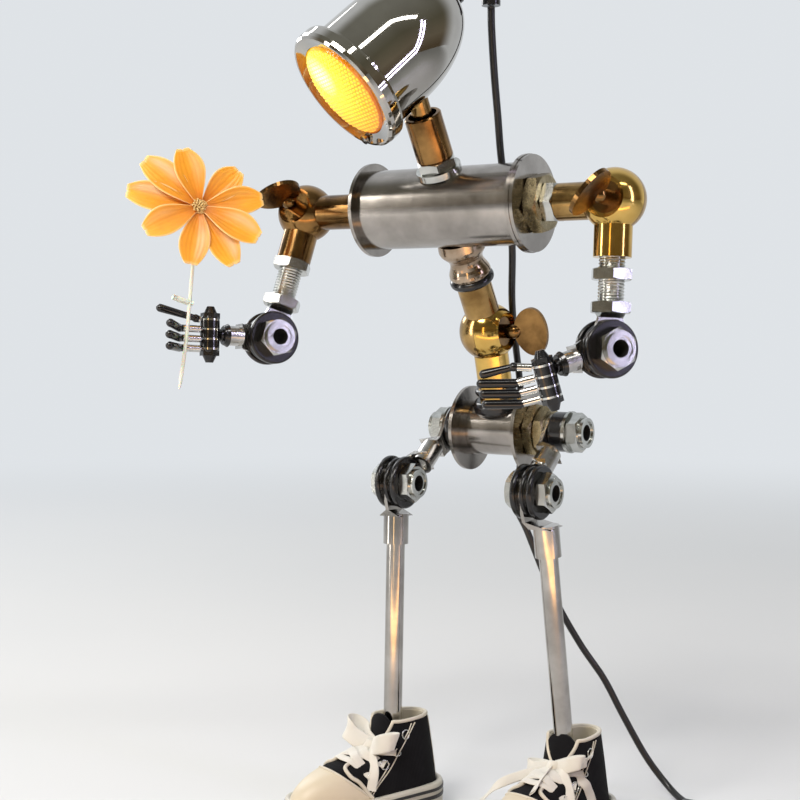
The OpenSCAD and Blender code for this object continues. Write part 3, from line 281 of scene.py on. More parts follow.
# ---------------- materials
class Look:
    """A material, or the world, being made: short calls that add and link its shader nodes."""

    def __init__(self, name, world=None):
        self.mat = world or bpy.data.materials.new(name)
        self.mat.use_nodes = True
        self.tree = self.mat.node_tree
        self.shader = self.tree.nodes.get("Principled BSDF")
        self.coord = self.tree.nodes.new("ShaderNodeTexCoord").outputs["Object"]

    def node(self, kind, inputs=None, **settings):
        n = self.tree.nodes.new("ShaderNode" + kind)
        for k, v in settings.items():
            setattr(n, k, v)
        for k, v in (inputs or {}).items():
            self.put(n.inputs[k], v)
        return n

    def put(self, socket, value):
        if isinstance(value, bpy.types.NodeSocket):
            self.tree.links.new(value, socket)
        elif isinstance(value, (tuple, list)) and len(value) == 3 and socket.type == "RGBA":
            socket.default_value = (*value, 1)
        else:
            socket.default_value = value

    def set(self, **values):
        names = {"color": "Base Color", "metal": "Metallic", "rough": "Roughness", "normal": "Normal",
                 "coat": "Coat Weight", "coat_rough": "Coat Roughness", "sheen": "Sheen Weight",
                 "glow": "Emission Color", "glow_strength": "Emission Strength",
                 "through": "Subsurface Weight", "ior": "IOR", "transmission": "Transmission Weight"}
        for k, v in values.items():
            self.put(self.shader.inputs[names[k]], v)
        return self

    def noise(self, scale, detail=3, rough=0.5, stretch=(1, 1, 1)):
        """Noise on the piece's own coordinates; scale counts per metre along each axis."""
        place = self.node("Mapping", {"Vector": self.coord, "Scale": tuple(float(x) for x in stretch)})
        return self.node("TexNoise", {"Vector": place.outputs[0], "Scale": scale, "Detail": detail,
                                      "Roughness": rough}).outputs["Fac"]

    def ramp(self, value, stops, constant=False):
        n = self.node("ValToRGB", {"Fac": value})
        ramp = n.color_ramp
        if constant:
            ramp.interpolation = "CONSTANT"
        while len(ramp.elements) < len(stops):
            ramp.elements.new(0.5)
        for e, (pos, col) in zip(ramp.elements, stops):
            e.position = pos
            e.color = (*col, 1) if isinstance(col, (tuple, list)) else (col, col, col, 1)
        return n.outputs["Color"]

    def ranged(self, value, low=0.0, high=1.0, to_low=0.0, to_high=1.0, ease="LINEAR"):
        """Carries a value from the range low, high onto to_low, to_high, and holds it at the ends."""
        return self.node("MapRange", {"Value": value, "From Min": low, "From Max": high, "To Min": to_low,
                                      "To Max": to_high}, interpolation_type=ease).outputs["Result"]

    def math(self, operation, a, b):
        return self.node("Math", {0: a, 1: b}, operation=operation).outputs[0]

    def mix_value(self, factor, a, b):
        return self.node("Mix", {"Factor": factor, "A": a, "B": b}).outputs["Result"]

    def mix(self, factor, a, b):
        return self.node("Mix", {"Factor": factor, "A": a, "B": b}, data_type="RGBA").outputs["Result"]

    def bump(self, height, distance, strength=1.0):
        return self.node("Bump", {"Height": height, "Distance": distance * MM,
                                  "Strength": strength}).outputs[0]

    def vector(self, operation, a, b, output="Value"):
        """A vector sum: b is a plain vector, and a comes from another node."""
        b = tuple(float(x) for x in b)
        return self.node("VectorMath", {0: a, 1: b}, operation=operation).outputs[output]

    def offset(self, origin):
        """The way from a point in millimetres to the surface, in metres."""
        return self.vector("SUBTRACT", self.coord, np.asarray(origin) * MM, "Vector")

    def along(self, origin, direction):
        """Distance in metres of the surface from a point, along a direction."""
        return self.vector("DOT_PRODUCT", self.offset(origin), unit(direction))

    def away(self, origin):
        """Distance in metres of the surface from a point."""
        return self.vector("DISTANCE", self.coord, np.asarray(origin) * MM)

    def round_axis(self, origin, direction):
        """Distance in metres of the surface from a line through a point."""
        across = self.vector("CROSS_PRODUCT", self.offset(origin), unit(direction), "Vector")
        return self.node("VectorMath", {0: across}, operation="LENGTH").outputs["Value"]

    def bands(self, value, spans):
        """1 inside the spans (low, high) in millimetres of a distance in metres, else 0."""
        low, high = min(a for a, b in spans) - 1, max(b for a, b in spans) + 1
        stops = [(0.0, 0.0)]
        for a, b in sorted(spans):
            stops += [((a - low) / (high - low), 1.0), ((b - low) / (high - low), 0.0)]
        return self.ramp(self.ranged(value, low * MM, high * MM), stops, constant=True)


FINE_GRAIN = (2400, 2400, 2400)


def metal(name, dark, light, rough, mottle, wear, grain=FINE_GRAIN, bump=0.02):
    """Metal whose colour drifts between two tones in patches, mottle of them to a metre, with worn
    scratches; grain is how fine these are along each axis, and bump how deep, in millimetres."""
    look = Look(name)
    tone = look.noise(mottle, 4, 0.6)
    scratches = look.noise(1.0, 5, 0.65, grain)
    spread = look.math("MULTIPLY", scratches, look.noise(260, 6, 0.7))
    look.set(color=look.ramp(tone, [(0.35, dark), (0.7, light)]), metal=1.0,
             rough=look.ranged(spread, to_low=rough * (1 - wear), to_high=rough * (1 + 2 * wear)),
             normal=look.bump(scratches, bump, 0.25))
    return look


def zinc_plate(name):
    return metal(name, (0.42, 0.43, 0.41), (0.64, 0.64, 0.61), 0.2, 120, 0.5, bump=0.002)


def tin_plate(name):
    return metal(name, (0.42, 0.41, 0.4), (0.62, 0.61, 0.58), 0.25, 140, 0.5, bump=0.003)


def two_tone(look, mask, color, rough):
    """Paints a plain finish over a metal look where the mask is 1."""
    for name, blend, value in (("Base Color", look.mix, color), ("Roughness", look.mix_value, rough),
                               ("Metallic", look.mix_value, 0.0)):
        socket = look.shader.inputs[name]
        under = socket.links[0].from_socket if socket.links else socket.default_value
        look.put(socket, blend(mask, under, value))
    return look


BLACK = (0.006, 0.006, 0.007)
# painted shade: the near-black colour given to the inside of a hollow bolt's bore
BORE_SHADE = (0.004, 0.004, 0.004)
chrome = metal("mirror_chrome", (0.42, 0.4, 0.37), (0.56, 0.54, 0.5), 0.05, 30, 0.4, bump=0.0005)
antique = metal("antique_brass", (0.07, 0.035, 0.012), (0.36, 0.2, 0.07), 0.2, 60, 0.45, bump=0.002)
brass = metal("aged_brass", (0.2, 0.115, 0.04), (0.5, 0.32, 0.12), 0.2, 70, 0.45, bump=0.002)
brass_bright = metal("polished_brass", (0.5, 0.3, 0.07), (0.72, 0.48, 0.14), 0.15, 60, 0.4, bump=0.001)
bronze = metal("bronze_nut", (0.2, 0.16, 0.085), (0.4, 0.33, 0.2), 0.3, 150, 0.4, bump=0.003)
flare_steel = metal("warm_steel", (0.3, 0.22, 0.15), (0.55, 0.45, 0.35), 0.17, 80, 0.4, bump=0.001)
brushed = metal("brushed_tube", (0.26, 0.24, 0.22), (0.46, 0.43, 0.4), 0.2, 40, 0.35, (2600, 14, 14), 0.003)
zinc = zinc_plate("zinc_plate")
tinned = tin_plate("tinned_lug")
mirror_back = metal("reflector_silver", (0.8, 0.8, 0.8), (0.9, 0.9, 0.88), 0.08, 30, 0.3, bump=0.001)


def plastic(name, color, rough, grain=0.02, scale=900, coat=0.0, tone=0.15, sheen=0.0):
    """Rubber, vinyl or plastic: a colour that drifts a little, with a fine grained surface."""
    look = Look(name)
    drift = look.noise(60, 4, 0.6)
    pale = tuple(min(1.0, c * (1 + tone) + 0.004) for c in color)
    return look.set(
        color=look.mix(drift, tuple(c * (1 - tone) for c in color), pale), coat=coat, sheen=sheen,
        rough=look.ranged(look.noise(300, 3), to_low=rough * 0.8, to_high=rough * 1.25),
        normal=look.bump(look.noise(scale, 4), grain, 0.4))


rubber = plastic("black_rubber", (0.007, 0.007, 0.008), 0.2, 0.01, 700, 0.15)
cord_skin = plastic("cord_sheath", (0.008, 0.008, 0.009), 0.3, 0.01, 900)
moulded = plastic("plug_plastic", (0.012, 0.012, 0.013), 0.35, 0.02, 1500)
rocker_skin = plastic("rocker_plastic", (0.02, 0.02, 0.022), 0.25, 0.02, 1200)
bulb_glass = plastic("bulb_glass", (0.95, 0.86, 0.6), 0.12, 0.004, 500, 0.3)
bulb_glass.set(glow=(1.0, 0.75, 0.3), glow_strength=1.5)


def dress(look, *names):
    """Gives CAD nodes a material, in place of their own."""
    for n in names:
        data = NODES[n].data
        data.materials.clear()
        data.materials.append(look.mat)


def shade_bore(look, place):
    """Paints the hole of a hollow bolt near black as painted shade: everything nearer to its axis than the
    bore's radius.
    """
    near = look.round_axis(place[:3, 3], place[:3, 0])
    return two_tone(look, look.math("LESS_THAN", near, (NIPPLE_BORE / 2 + 0.06) * MM), BORE_SHADE, 0.9)


for look, names in (
        (chrome, "head_shell trim_ring"), (mirror_back, "reflector"), (bulb_glass, "bulb"),
        (antique, "right_shoulder_inner right_shoulder_outer right_shoulder_key"),
        (antique, "left_shoulder_key waist_key neck_tube"),
        (brass, "waist_swivel_upper left_shoulder_inner head_stud"),
        (brass_bright, "left_shoulder_outer waist_swivel_lower"), (flare_steel, "waist_flare"),
        (bronze, "torso_bronze_nut hip_bronze_nuts"),
        (brushed, "torso_tube torso_discs pelvis_tube pelvis_discs"), (zinc, "left_arm_stud right_arm_stud"),
        (tinned, "left_thigh right_thigh"), (rubber, "waist_o_ring waist_rings hip_washers cord_gland"),
        (moulded, "plug inline_switch"), (rocker_skin, "switch_rocker"),
        # the axles' bores are painted near black as shade
        (shade_bore(zinc_plate("torso_axle_zinc"), TORSO), "torso_axle"),
        (shade_bore(zinc_plate("pelvis_axle_zinc"), PELVIS), "pelvis_axle")):
    dress(look, *names.split())

# bolt sets: zinc hardware with rubber washers between
LOW = SHIN_PALM_X - PALM_T / 2 - FACE_PLAY - OUT_RUBBER
WASHERS = [(LOW, LOW + OUT_RUBBER), (SHIN_PALM_X + PALM_T / 2 + FACE_PLAY, -PALM_T / 2 - FACE_PLAY),
           (PALM_T / 2, PALM_T / 2 + OUT_RUBBER)]
for word, s in SIDES.items():
    for what, place in (("knee", knee(s)), ("elbow", ELBOW[s])):
        look = zinc_plate(f"{word}_{what}_bolt")
        two_tone(look, look.bands(look.along(place[:3, 3], place[:3, 0]), WASHERS), BLACK, 0.2)
        # the bolt's bore is painted near black as shade
        dress(shade_bore(look, place), f"{word}_{what}_bolt_set")
    # forearm: tinned lug, then black blocks on the knuckle bolt
    place = FOREARMS[s]
    look = tin_plate(f"{word}_forearm_lug")
    mask = look.bands(look.along(place[:3, 3], -place[:3, 2]), [(FOREARM - EYE_D / 2 - 3.7, FOREARM + 20)])
    dress(two_tone(look, mask, BLACK, 0.16), f"{word}_forearm")
    # shin: a rod in a lug, both given one polished metal
    rod = metal(f"{word}_shin_rod", (0.3, 0.28, 0.26), (0.5, 0.48, 0.45), 0.13, 50, 0.3, (60, 60, 12), 0.001)
    dress(rod, f"{word}_shin")

# digits: a bare silver eye and barrel, then a dipped black tip. For each side, the swing, the rise
# and the bare length of the thumb and of the fingers
LEVELS = {"thumb": -1.5, "finger_1": -0.5, "finger_2": 0.5, "finger_3": 1.5}
THUMB = {1: (29, 17, 11), -1: (4, 12, 6.2)}
RIGHT_BARE = 13.2
FINGER = {1: (29, 0, 12), -1: (0, 0, RIGHT_BARE)}
TIP_D, EYE_GAP, TIP_LAP = 3.4, 0.4, 0.3
for word, s in SIDES.items():
    for name, level in LEVELS.items():
        swing, rise, bare = (THUMB if name == "thumb" else FINGER)[s]
        place = (FOREARMS[s] @ shift(KNUCKLE_X, (DIGIT_PITCH if s > 0 else 0) + level * DIGIT_PITCH, -FOREARM)
                 @ turn("y", swing) @ shift(0, 0, -EYE_D / 2 - EYE_GAP) @ turn("x", -rise))
        look = metal(f"{word}_{name}_metal", (0.5, 0.5, 0.49), (0.7, 0.7, 0.68), 0.2, 140, 0.5, bump=0.002)
        start = bare - EYE_D / 2 - EYE_GAP - TIP_D / 2 + TIP_LAP
        mask = look.bands(look.along(place[:3, 3], -place[:3, 2]), [(start, 60)])
        dress(two_tone(look, mask, BLACK, 0.12), f"{word}_{name}")

# ---------------- camera and stage
CAMERA_AT = np.array([305.51, -504.5, 212.82]) + STAND[:3, 3]
AZIMUTH, PITCH, ROLL, FOCAL = math.radians(33.07), math.radians(3.48), math.radians(-0.09), 66.5
level_right = np.array([math.cos(AZIMUTH), math.sin(AZIMUTH), 0])
ahead = np.array([-math.sin(AZIMUTH) * math.cos(PITCH), math.cos(AZIMUTH) * math.cos(PITCH),
                  -math.sin(PITCH)])
level_up = np.cross(level_right, ahead)
right = math.cos(ROLL) * level_right + math.sin(ROLL) * level_up
above = np.cross(right, ahead)


def posed(x, y, z, place):
    """The matrix of an object with these axes at a place in metres."""
    return Matrix([[x[i], y[i], z[i], place[i]] for i in range(3)] + [[0, 0, 0, 1]])


camera = bpy.data.objects.new("camera", bpy.data.cameras.new("camera"))
camera.data.lens, camera.data.sensor_width = FOCAL, 36
camera.data.clip_start = 0.01
camera.matrix_world = posed(right, above, -ahead, CAMERA_AT * MM)
bpy.context.scene.collection.objects.link(camera)
bpy.context.scene.camera = camera
bpy.context.scene.view_settings.view_transform = "Standard"

# The stage: a wide sheet of pale paper that fades into a pale backdrop behind the object, and a
# dim room on the camera's side, so that metal shows both
BEHIND = np.array([-math.sin(AZIMUTH), math.cos(AZIMUTH), 0])
PALE = (0.74, 0.77, 0.8)
EASED, PAPER, PAPER_Z = "SMOOTHSTEP", 12000, -0.2


def make_stage():
    paper = Look("studio_paper")
    paper.set(color=paper.mix(paper.noise(3, 3), (0.6, 0.61, 0.62), (0.66, 0.66, 0.66)), rough=0.8)
    round_about = paper.ranged(paper.away((0, 0, 0)), 0.25, 1.6, ease=EASED)
    behind = paper.ranged(paper.along((0, 0, 0), BEHIND), 0.2, 1.4, ease=EASED)
    seen = paper.node("LightPath").outputs["Is Camera Ray"]
    glow = paper.node("Emission", {"Color": PALE, "Strength": 1.0})
    both = paper.node("MixShader", {0: paper.mix_value(seen, behind, round_about), 1: paper.shader.outputs[0],
                                    2: glow.outputs[0]})
    paper.put(paper.tree.nodes["Material Output"].inputs["Surface"], both.outputs[0])
    side = np.linspace(-PAPER / 2, PAPER / 2, 41)
    x, y = np.meshgrid(side, side, indexing="ij")
    sheet = np.stack([x, y, np.full_like(x, PAPER_Z)], -1).reshape(-1, 3)
    add_mesh("paper_sheet", sheet, grid_faces(len(side), len(side)), paper.mat)


make_stage()


def softbox(name, place, target, size, power, color=(1, 1, 1)):
    """A soft rectangular lamp at a place, facing a target, both in metres; only its light is seen."""
    data = bpy.data.lights.new(name, "AREA")
    data.shape, data.energy, data.color = "RECTANGLE", power, color
    data.size, data.size_y = size
    obj = bpy.data.objects.new(name, data)
    z = unit(np.subtract(place, target))
    x = unit(np.cross([0, 0, 1], z))
    obj.matrix_world = posed(x, np.cross(z, x), z, place)
    obj.visible_camera = False
    bpy.context.scene.collection.objects.link(obj)


def seen_from(side, height, near):
    """A place in metres: to the camera's right by side, up by height and towards the camera by near."""
    return tuple(side * level_right - near * BEHIND + np.array([0, 0, height]))


MIDDLE = (0, 0, 0.2)
softbox("key_light", seen_from(-0.55, 1.15, 0.75), MIDDLE, (0.5, 0.4), 13, (1, 0.97, 0.93))
softbox("long_strip", seen_from(0.1, 1.3, 0.8), MIDDLE, (1.5, 0.1), 5, (1, 0.98, 0.95))
for more in (0, 0.09):
    softbox("right_strip", seen_from(0.95, 0.5 + more, 0.55 + more), MIDDLE, (0.03, 0.9), 1.6,
            (0.72, 0.68, 1))
softbox("left_strip", seen_from(-1.0, 0.35, 0.25), MIDDLE, (0.12, 0.9), 4, (1, 0.96, 0.9))
softbox("warm_strip", seen_from(0, 0.02, 0.34), MIDDLE, (0.9, 0.03), 0.35, (1, 0.5, 0.14))
softbox("warm_side", seen_from(-0.35, 0.22, 0.9), MIDDLE, (0.06, 0.5), 0.6, (1, 0.62, 0.25))
softbox("rim_light", seen_from(-0.75, 0.9, -0.9), MIDDLE, (0.4, 0.8), 7)


def make_room():
    """The world: pale behind the object and for the camera; dim and warm on the camera's side,
    a little lighter above the horizon."""
    bpy.context.scene.world = bpy.data.worlds.new("room")
    room = Look("room", bpy.context.scene.world)
    way = room.coord.node.outputs["Generated"]
    up = room.node("SeparateXYZ", {0: way}).outputs["Z"]
    dim = room.ramp(room.ranged(up, -1.0), [
        (0.0, (0.05, 0.035, 0.02)), (0.5, (0.12, 0.09, 0.055)), (0.6, (0.2, 0.17, 0.12)),
        (0.75, (0.14, 0.13, 0.09)), (1.0, (0.25, 0.25, 0.22))])
    wall = room.ranged(room.vector("DOT_PRODUCT", way, BEHIND), 0.0, 0.45, ease=EASED)
    around = room.mix(wall, dim, PALE)
    seen = room.node("LightPath").outputs["Is Camera Ray"]
    background = room.tree.nodes["Background"].inputs
    room.put(background["Color"], room.mix(seen, around, PALE))
    room.put(background["Strength"], 1.0)


make_room()

# ---------------- cord
CORD_D = 3
ROUTE = [
    (15.5, 6.7, 331.4), (15.5, 7.1, 322.7), (15.2, 9.8, 306), (14.2, 14.5, 290), (13, 20, 272), (14, 25, 254),
    (13, 29, 237), (8, 38, 217), (3, 50, 200), (0, 60, 181), (-1, 64.5, 162), (-2, 64, 145), (-1.5, 60, 128),
    (4, 60, 116.5), (12, 69, 88), (20, 79, 66), (29, 85, 50), (37, 88, 34), (47, 90, 17), (57, 90, 6),
    (66, 85.5, 2), (75, 81, 1.7), (82, 75, 1.9), (84, 66, 3)]
BEHIND_CHEST = 5
SWITCH_AT, SWITCH_LEN = (84, 45, 0), 40
COIL_AT, COIL_RADII, COIL_LAYERS = (104.2, 4), (20.2, 17.1, 14.0), 4


def cord_piece(name, points, steps):
    """A round cord along a smooth curve through points, and the curve itself."""
    path = smooth_path(points, steps)
    parts = [sweep(path, ring_outline(CORD_D / 2, 12), up=(0.1, 1, 0.05))]
    return add_mesh(name, *closed_parts(parts), cord_skin.mat), path


upper_route = at(STAND, ROUTE[:BEHIND_CHEST + 1])
lower_route = at(STAND, ROUTE[BEHIND_CHEST:])


upper_cord, upper_path = cord_piece("cord_behind_head", upper_route, 60)
lower_cord, lower_path = cord_piece("cord_to_switch", lower_route, 220)
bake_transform(upper_cord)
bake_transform(lower_cord)
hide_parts("cord_lead")
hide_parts("cord_lead")

# coil: the rest of the cord, in layers of turns a little over a diameter apart; its last third
# of a turn slips off outside the others and down to the floor
STEPS_A_TURN, LAYER_RISE, LIE, COIL_FROM = 24, 3.04, 1.55, 176
wound = [(r, LIE + level * LAYER_RISE) for level in range(COIL_LAYERS)
         for r in (COIL_RADII if level % 2 == 0 else COIL_RADII[::-1]) for k in range(STEPS_A_TURN)]
OUTSIDE = 23.5
wound += [(20.8, 10.8), (22.0, 10.5), (23.1, 9.7)]
wound += [(OUTSIDE, z) for z in (8.6, 7.3, 6.0, 4.8, 3.7, 2.7, 2.0, LIE, LIE, LIE)]
ease = np.ones(5) / 5
radius, height = (np.convolve(np.pad(v, 2, mode="edge"), ease, mode="valid") for v in np.array(wound).T)
angle = math.radians(COIL_FROM) + np.arange(len(wound)) * 2 * np.pi / STEPS_A_TURN
coil = np.stack([COIL_AT[0] + radius * np.cos(angle), COIL_AT[1] + radius * np.sin(angle), height], 1)
lead_in = [(SWITCH_AT[0], y, z) for y, z in ((SWITCH_AT[1] - SWITCH_LEN / 2, 3.2), (18, 2.2), (11, 1.6))]
lead_out = [(127.4, 6.5, 2.0), (126.6, 10.5, 3.6), (125.3, 14.2, 5.7), (124.6, 16.8, 6.8), (124.5, 18.6, 7)]
coil_route = at(STAND, np.concatenate([lead_in, coil, lead_out]))
coil_cord, coil_path = cord_piece("cord_coiled", coil_route, 420)
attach(coil_cord, "pelvis")
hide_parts("cord_coil")

# ---------------- lens
LENS_R, LENS_Z = TRIM_D / 2 - BEVEL_W - 0.2, HEAD_LEN - 2
PRISM_W, PRISM_H, PRISM_RISE = 2.3, 1.5, 0.42
DOME_TOP, DOME_DROP, HOT_SPOT = 2.6, 1.5, (-5, 9, 2)


def prisms(x, y):
    """Height of the lens's staggered prism rows: the root of the product of two rectified sines,
    with every other row shifted."""
    row = np.floor(y / PRISM_H)
    across = np.abs(np.sin(np.pi * (x / PRISM_W + 0.5 * (row % 2))))
    return PRISM_RISE * np.sqrt(across * np.abs(np.sin(np.pi * y / PRISM_H)) + 1e-9)


def amber_look(local):
    """Amber glass that glows: brightest at the hot spot, and brighter on the prisms' crests than
    between them, which is told by how far the surface stands above the dome."""
    amber = Look("lens_glass")
    hot = amber.ranged(amber.away(at(local, [HOT_SPOT])[0]), 0.003, 0.034, 1, 0)
    curve = amber.math("POWER", amber.away(at(local, [(0, 0, 2)])[0]), 2)
    level = amber.math("MULTIPLY", curve, -DOME_DROP / (LENS_R ** 2 * MM))
    ridge = amber.math("SUBTRACT", amber.along(local[:3, 3], local[:3, 2]), level)
    crest = amber.ranged(ridge, (DOME_TOP + 0.02) * MM, (DOME_TOP + 0.35) * MM)
    deep = amber.ramp(hot, [(0.0, (0.3, 0.05, 0.002)), (0.45, (0.62, 0.2, 0.003)), (0.9, (0.95, 0.6, 0.02))])
    bright = amber.ramp(hot, [(0.0, (0.75, 0.26, 0.02)), (0.45, (1.0, 0.62, 0.02)), (0.8, (1.0, 0.8, 0.05)),
                              (1.0, (1.0, 0.97, 0.6))])
    shade = amber.mix(crest, deep, bright)
    return amber.set(color=shade, rough=0.12, coat=0.4, glow=shade, glow_strength=0.75)


def make_lens():
    """A shallow dome, z = top - drop (r/R)^2, with prism rows on its face; its back is a plain dish."""
    r = np.concatenate([[0.001], np.linspace(0.35, LENS_R - 1.2, 78)])[:, None]
    a = circle(300)
    x, y = r * np.cos(a), r * np.sin(a)
    front = np.stack([x, y, DOME_TOP - DOME_DROP * (r / LENS_R) ** 2 + prisms(x, y)], -1)
    rim = [(LENS_R, 0.6), (LENS_R, -1.4), (LENS_R - 0.8, -1.4), (LENS_R * 0.5, -0.4), (0.001, 0.2)]
    local = HEAD @ shift(0, 0, LENS_Z)
    grid = np.concatenate([front, turned(rim, a)])
    dish = [(at(local, grid.reshape(-1, 3)), grid_faces(len(grid), len(a), wrap_cols=True))]
    new_piece("lens_prisms", dish, amber_look(local), "head", "lens")


make_lens()

# ---------------- head shell
TRIM_LIP, HEAD_WALL, STRAIGHT, MOUTH, LAST_RING = 3.05, 1.2, 24, HEAD_LEN - 2, 0.6


def bullet(inset):
    """Half outline of one face of the shell: a quarter of an ellipse from its tip, then a straight
    wall with a ring close to the mouth, so that the shading of the wall stays even."""
    radius, dome = TRIM_D / 2 - TRIM_LIP - inset, HEAD_LEN - STRAIGHT
    t = np.linspace(0.001, np.pi / 2, 60)
    curve = np.column_stack([radius * np.sin(t), dome - (dome - inset) * np.cos(t)])
    return np.concatenate([curve, [[radius, MOUTH - LAST_RING], [radius, MOUTH]]])


def make_shell():
    """The polished bullet, turned finely so that its reflections run smooth."""
    outline = np.concatenate([bullet(0), bullet(HEAD_WALL)[::-1]])
    new_piece("bullet_shell", [revolve(outline, HEAD, 180)], chrome, "head", "head_shell")


make_shell()

# ---------------- threads
STUD_R, THREAD_PITCH, THREAD_DEPTH = (NIPPLE_D - 0.4) / 2, 1.2, 0.4
NUT_H, TOP_GAP, LUG_STEP = 4.3, 4.2, 13.2
LOW_NUT = -UPPER_ARM + LUG_STEP + NUT_H


def thread(name, side, low, high):
    """A screw thread on an arm's stud between two heights: a triangle wave, crest over root, of
    height / pitch - turn."""
    root, crest = STUD_R - 0.05, STUD_R + THREAD_DEPTH
    z = np.linspace(low, high, max(12, int((high - low) / THREAD_PITCH * 10)))[:, None]
    a = circle(48)
    phase = (z / THREAD_PITCH - a / (2 * np.pi)) % 1
    r = root + (crest - root) * (1 - np.abs(2 * phase - 1))
    outer = np.stack([r * np.cos(a), r * np.sin(a), np.broadcast_to(z, r.shape)], -1)
    core = root - THREAD_DEPTH
    grid = np.concatenate([outer, turned([(core, high), (core, low)], a)])
    faces = grid_faces(len(grid), len(a), wrap_rows=True, wrap_cols=True)
    screw = [(at(ARM[side], grid.reshape(-1, 3)), faces)]
    new_piece(name, screw, zinc, "left_arm" if side > 0 else "right_arm")


thread("left_arm_thread_top", 1, -SWIVEL_REACH - TOP_GAP, -SWIVEL_REACH)
thread("left_arm_thread", 1, LOW_NUT, -SWIVEL_REACH - TOP_GAP - NUT_H)
thread("right_arm_thread", -1, LOW_NUT, -SWIVEL_REACH - NUT_H)

# ---------------- flower
STEM_UP, STEM_DOWN, STEM_D, PETAL_W, PETAL_T, PETAL_ROOT = 50.5, 23, 1.6, 12.4, 0.36, 1.6
EYE_R, EYE_STALKS, EYE_STEP, STALK_H = 2.6, 26, 2.4, 2.6
# each petal: its angle in degrees, its reach, which long side gets a painted highlight of the sky, and how
# strong that highlight is
PETALS = [
    (356.5, 29.9, -1, 0.9), (327, 29.3, -1, 0.9), (293, 24.5, -1, 0.35), (230.5, 22.5, 1, 0.1),
    (194.5, 25.6, 1, 0.15), (156, 26.8, 1, 0.7), (125.5, 27.9, 1, 0.8), (87, 25, 1, 0.6),
    (34, 25.4, -1, 0.3)]
STEM_ASIDE, STEM_BACK, STEM_TURN, STEM_LEAN = 0.9, 1.5, 3, 85.5
FACE_TURN, FACE_TILT, FACE_OUT = 108, 12, 2
STEM = (FOREARMS[-1]
        @ shift(KNUCKLE_X + TIP_D / 2 + STEM_D / 2 + STEM_ASIDE, 0, -FOREARM - RIGHT_BARE + STEM_BACK)
        @ turn("z", STEM_TURN) @ turn("x", STEM_LEAN))
FLOWER = (STEM @ shift(0, 0, STEM_UP) @ turn("x", -90) @ turn("y", FACE_TURN) @ turn("x", FACE_TILT)
          @ shift(0, 0, FACE_OUT))


def petal(reach, layer, bend, seed, side, sky_highlight):
    """A petal over length u and width w: its half width is a skewed sine of u, its face a valley
    fold along the middle, z = fold |w|, with fine ribs, cos(7 pi w), and a bent tip; a second
    sheet below closes it. Also two values for each point: how near the rim, and how strong a
    painted highlight of the sky it takes."""
    u, w = np.meshgrid(np.linspace(0, 1, 40), np.linspace(-1, 1, 29), indexing="ij")
    half = PETAL_W / 2 * np.sin(np.radians(10 + 150 * u ** 1.3)) ** 0.85
    x = PETAL_ROOT + (reach - PETAL_ROOT) * u - 0.5 * np.exp(-(w / 0.12) ** 2) * u ** 8
    y = half * w + 0.3 * np.sin(5 * u + seed) * u
    fold = 1.9 * np.sin(np.pi * np.clip(u, 0, 0.95)) * (np.sqrt(w ** 2 + 0.01) - 0.1)
    ribs = 0.09 * np.cos(7 * np.pi * w + 0.5 * np.sin(5 * u + seed)) * np.sin(np.pi * u) ** 0.5
    z = x * math.tan(math.radians(7)) + fold + ribs - bend * u ** 3 + 0.5 * np.sin(4 * u + 2 * seed) * w * u
    top = np.stack([x, y, z + layer], -1)
    rim = np.maximum(np.abs(w), np.where(u > 0.5, 2.4 * u - 1.4, 0))
    inside = np.clip((u - 0.25) / 0.3, 0, 1) * np.clip((1.02 - u) / 0.2, 0, 1)
    # painted highlight: a pale band along one long side, where the petal would reflect the sky
    pale = sky_highlight * np.exp(-((w * side - 0.5) / 0.32) ** 2) * inside
    points, faces = patch(top, top - [0, 0, PETAL_T])
    return points, faces, np.tile(rim.ravel(), 2), np.tile(pale.ravel(), 2)


def petal_look():
    """Orange that deepens towards the eye, with paler veins, painted highlights of the sky on one side of
    some petals, and paler rims.
    """
    look = Look("flower_petal")
    out = look.ranged(look.away(FLOWER[:3, 3]), 0.002, 0.027)
    tint = look.ramp(out, [(0.0, (0.6, 0.16, 0.005)), (0.25, (0.87, 0.33, 0.01)), (0.7, (0.95, 0.42, 0.012)),
                           (1.0, (0.98, 0.5, 0.03))])
    vein = look.ramp(out, [(0.0, (0.5, 0.15, 0.005)), (1.0, (0.85, 0.33, 0.01))])
    veined = look.mix(look.noise(160, 4, 0.6), tint, vein)
    pale, rim = (look.node("Attribute", attribute_name=name).outputs["Fac"] for name in ("pale", "rim"))
    # painted highlight of the sky, read from the pale attribute
    with_sky_highlight = look.mix(pale, veined, (0.78, 0.5, 0.28))
    look.set(color=look.mix(look.ranged(rim, 0.86), with_sky_highlight, (0.98, 0.66, 0.3)), rough=0.45, through=0.15,
             sheen=0.15, normal=look.bump(look.noise(700, 4), 0.03, 0.3))
    look.shader.inputs["Subsurface Radius"].default_value = (1.0, 0.5, 0.1)
    look.shader.inputs["Subsurface Scale"].default_value = 0.002
    return look


def make_petals():
    parts, rims, sky_highlights = [], [], []
    for i, (deg, reach, side, sky_highlight) in enumerate(PETALS):
        p, f, rim, pale = petal(reach, (i % 3 - 1) * 0.75, (1.2, 2.0, 0.4)[i % 3], i, side, sky_highlight)
        parts.append((at(FLOWER @ turn("z", deg), p), f))
        rims.append(rim)
        sky_highlights.append(pale)
    petals = new_piece("flower_petals", parts, petal_look(), "right_forearm", "flower_head")
    # the pale attribute holds each petal's painted sky highlight
    for name, values in (("rim", rims), ("pale", sky_highlights)):
        layer = petals.data.attributes.new(name, "FLOAT", "POINT")
        layer.data.foreach_set("value", np.concatenate(values).astype(np.float32))


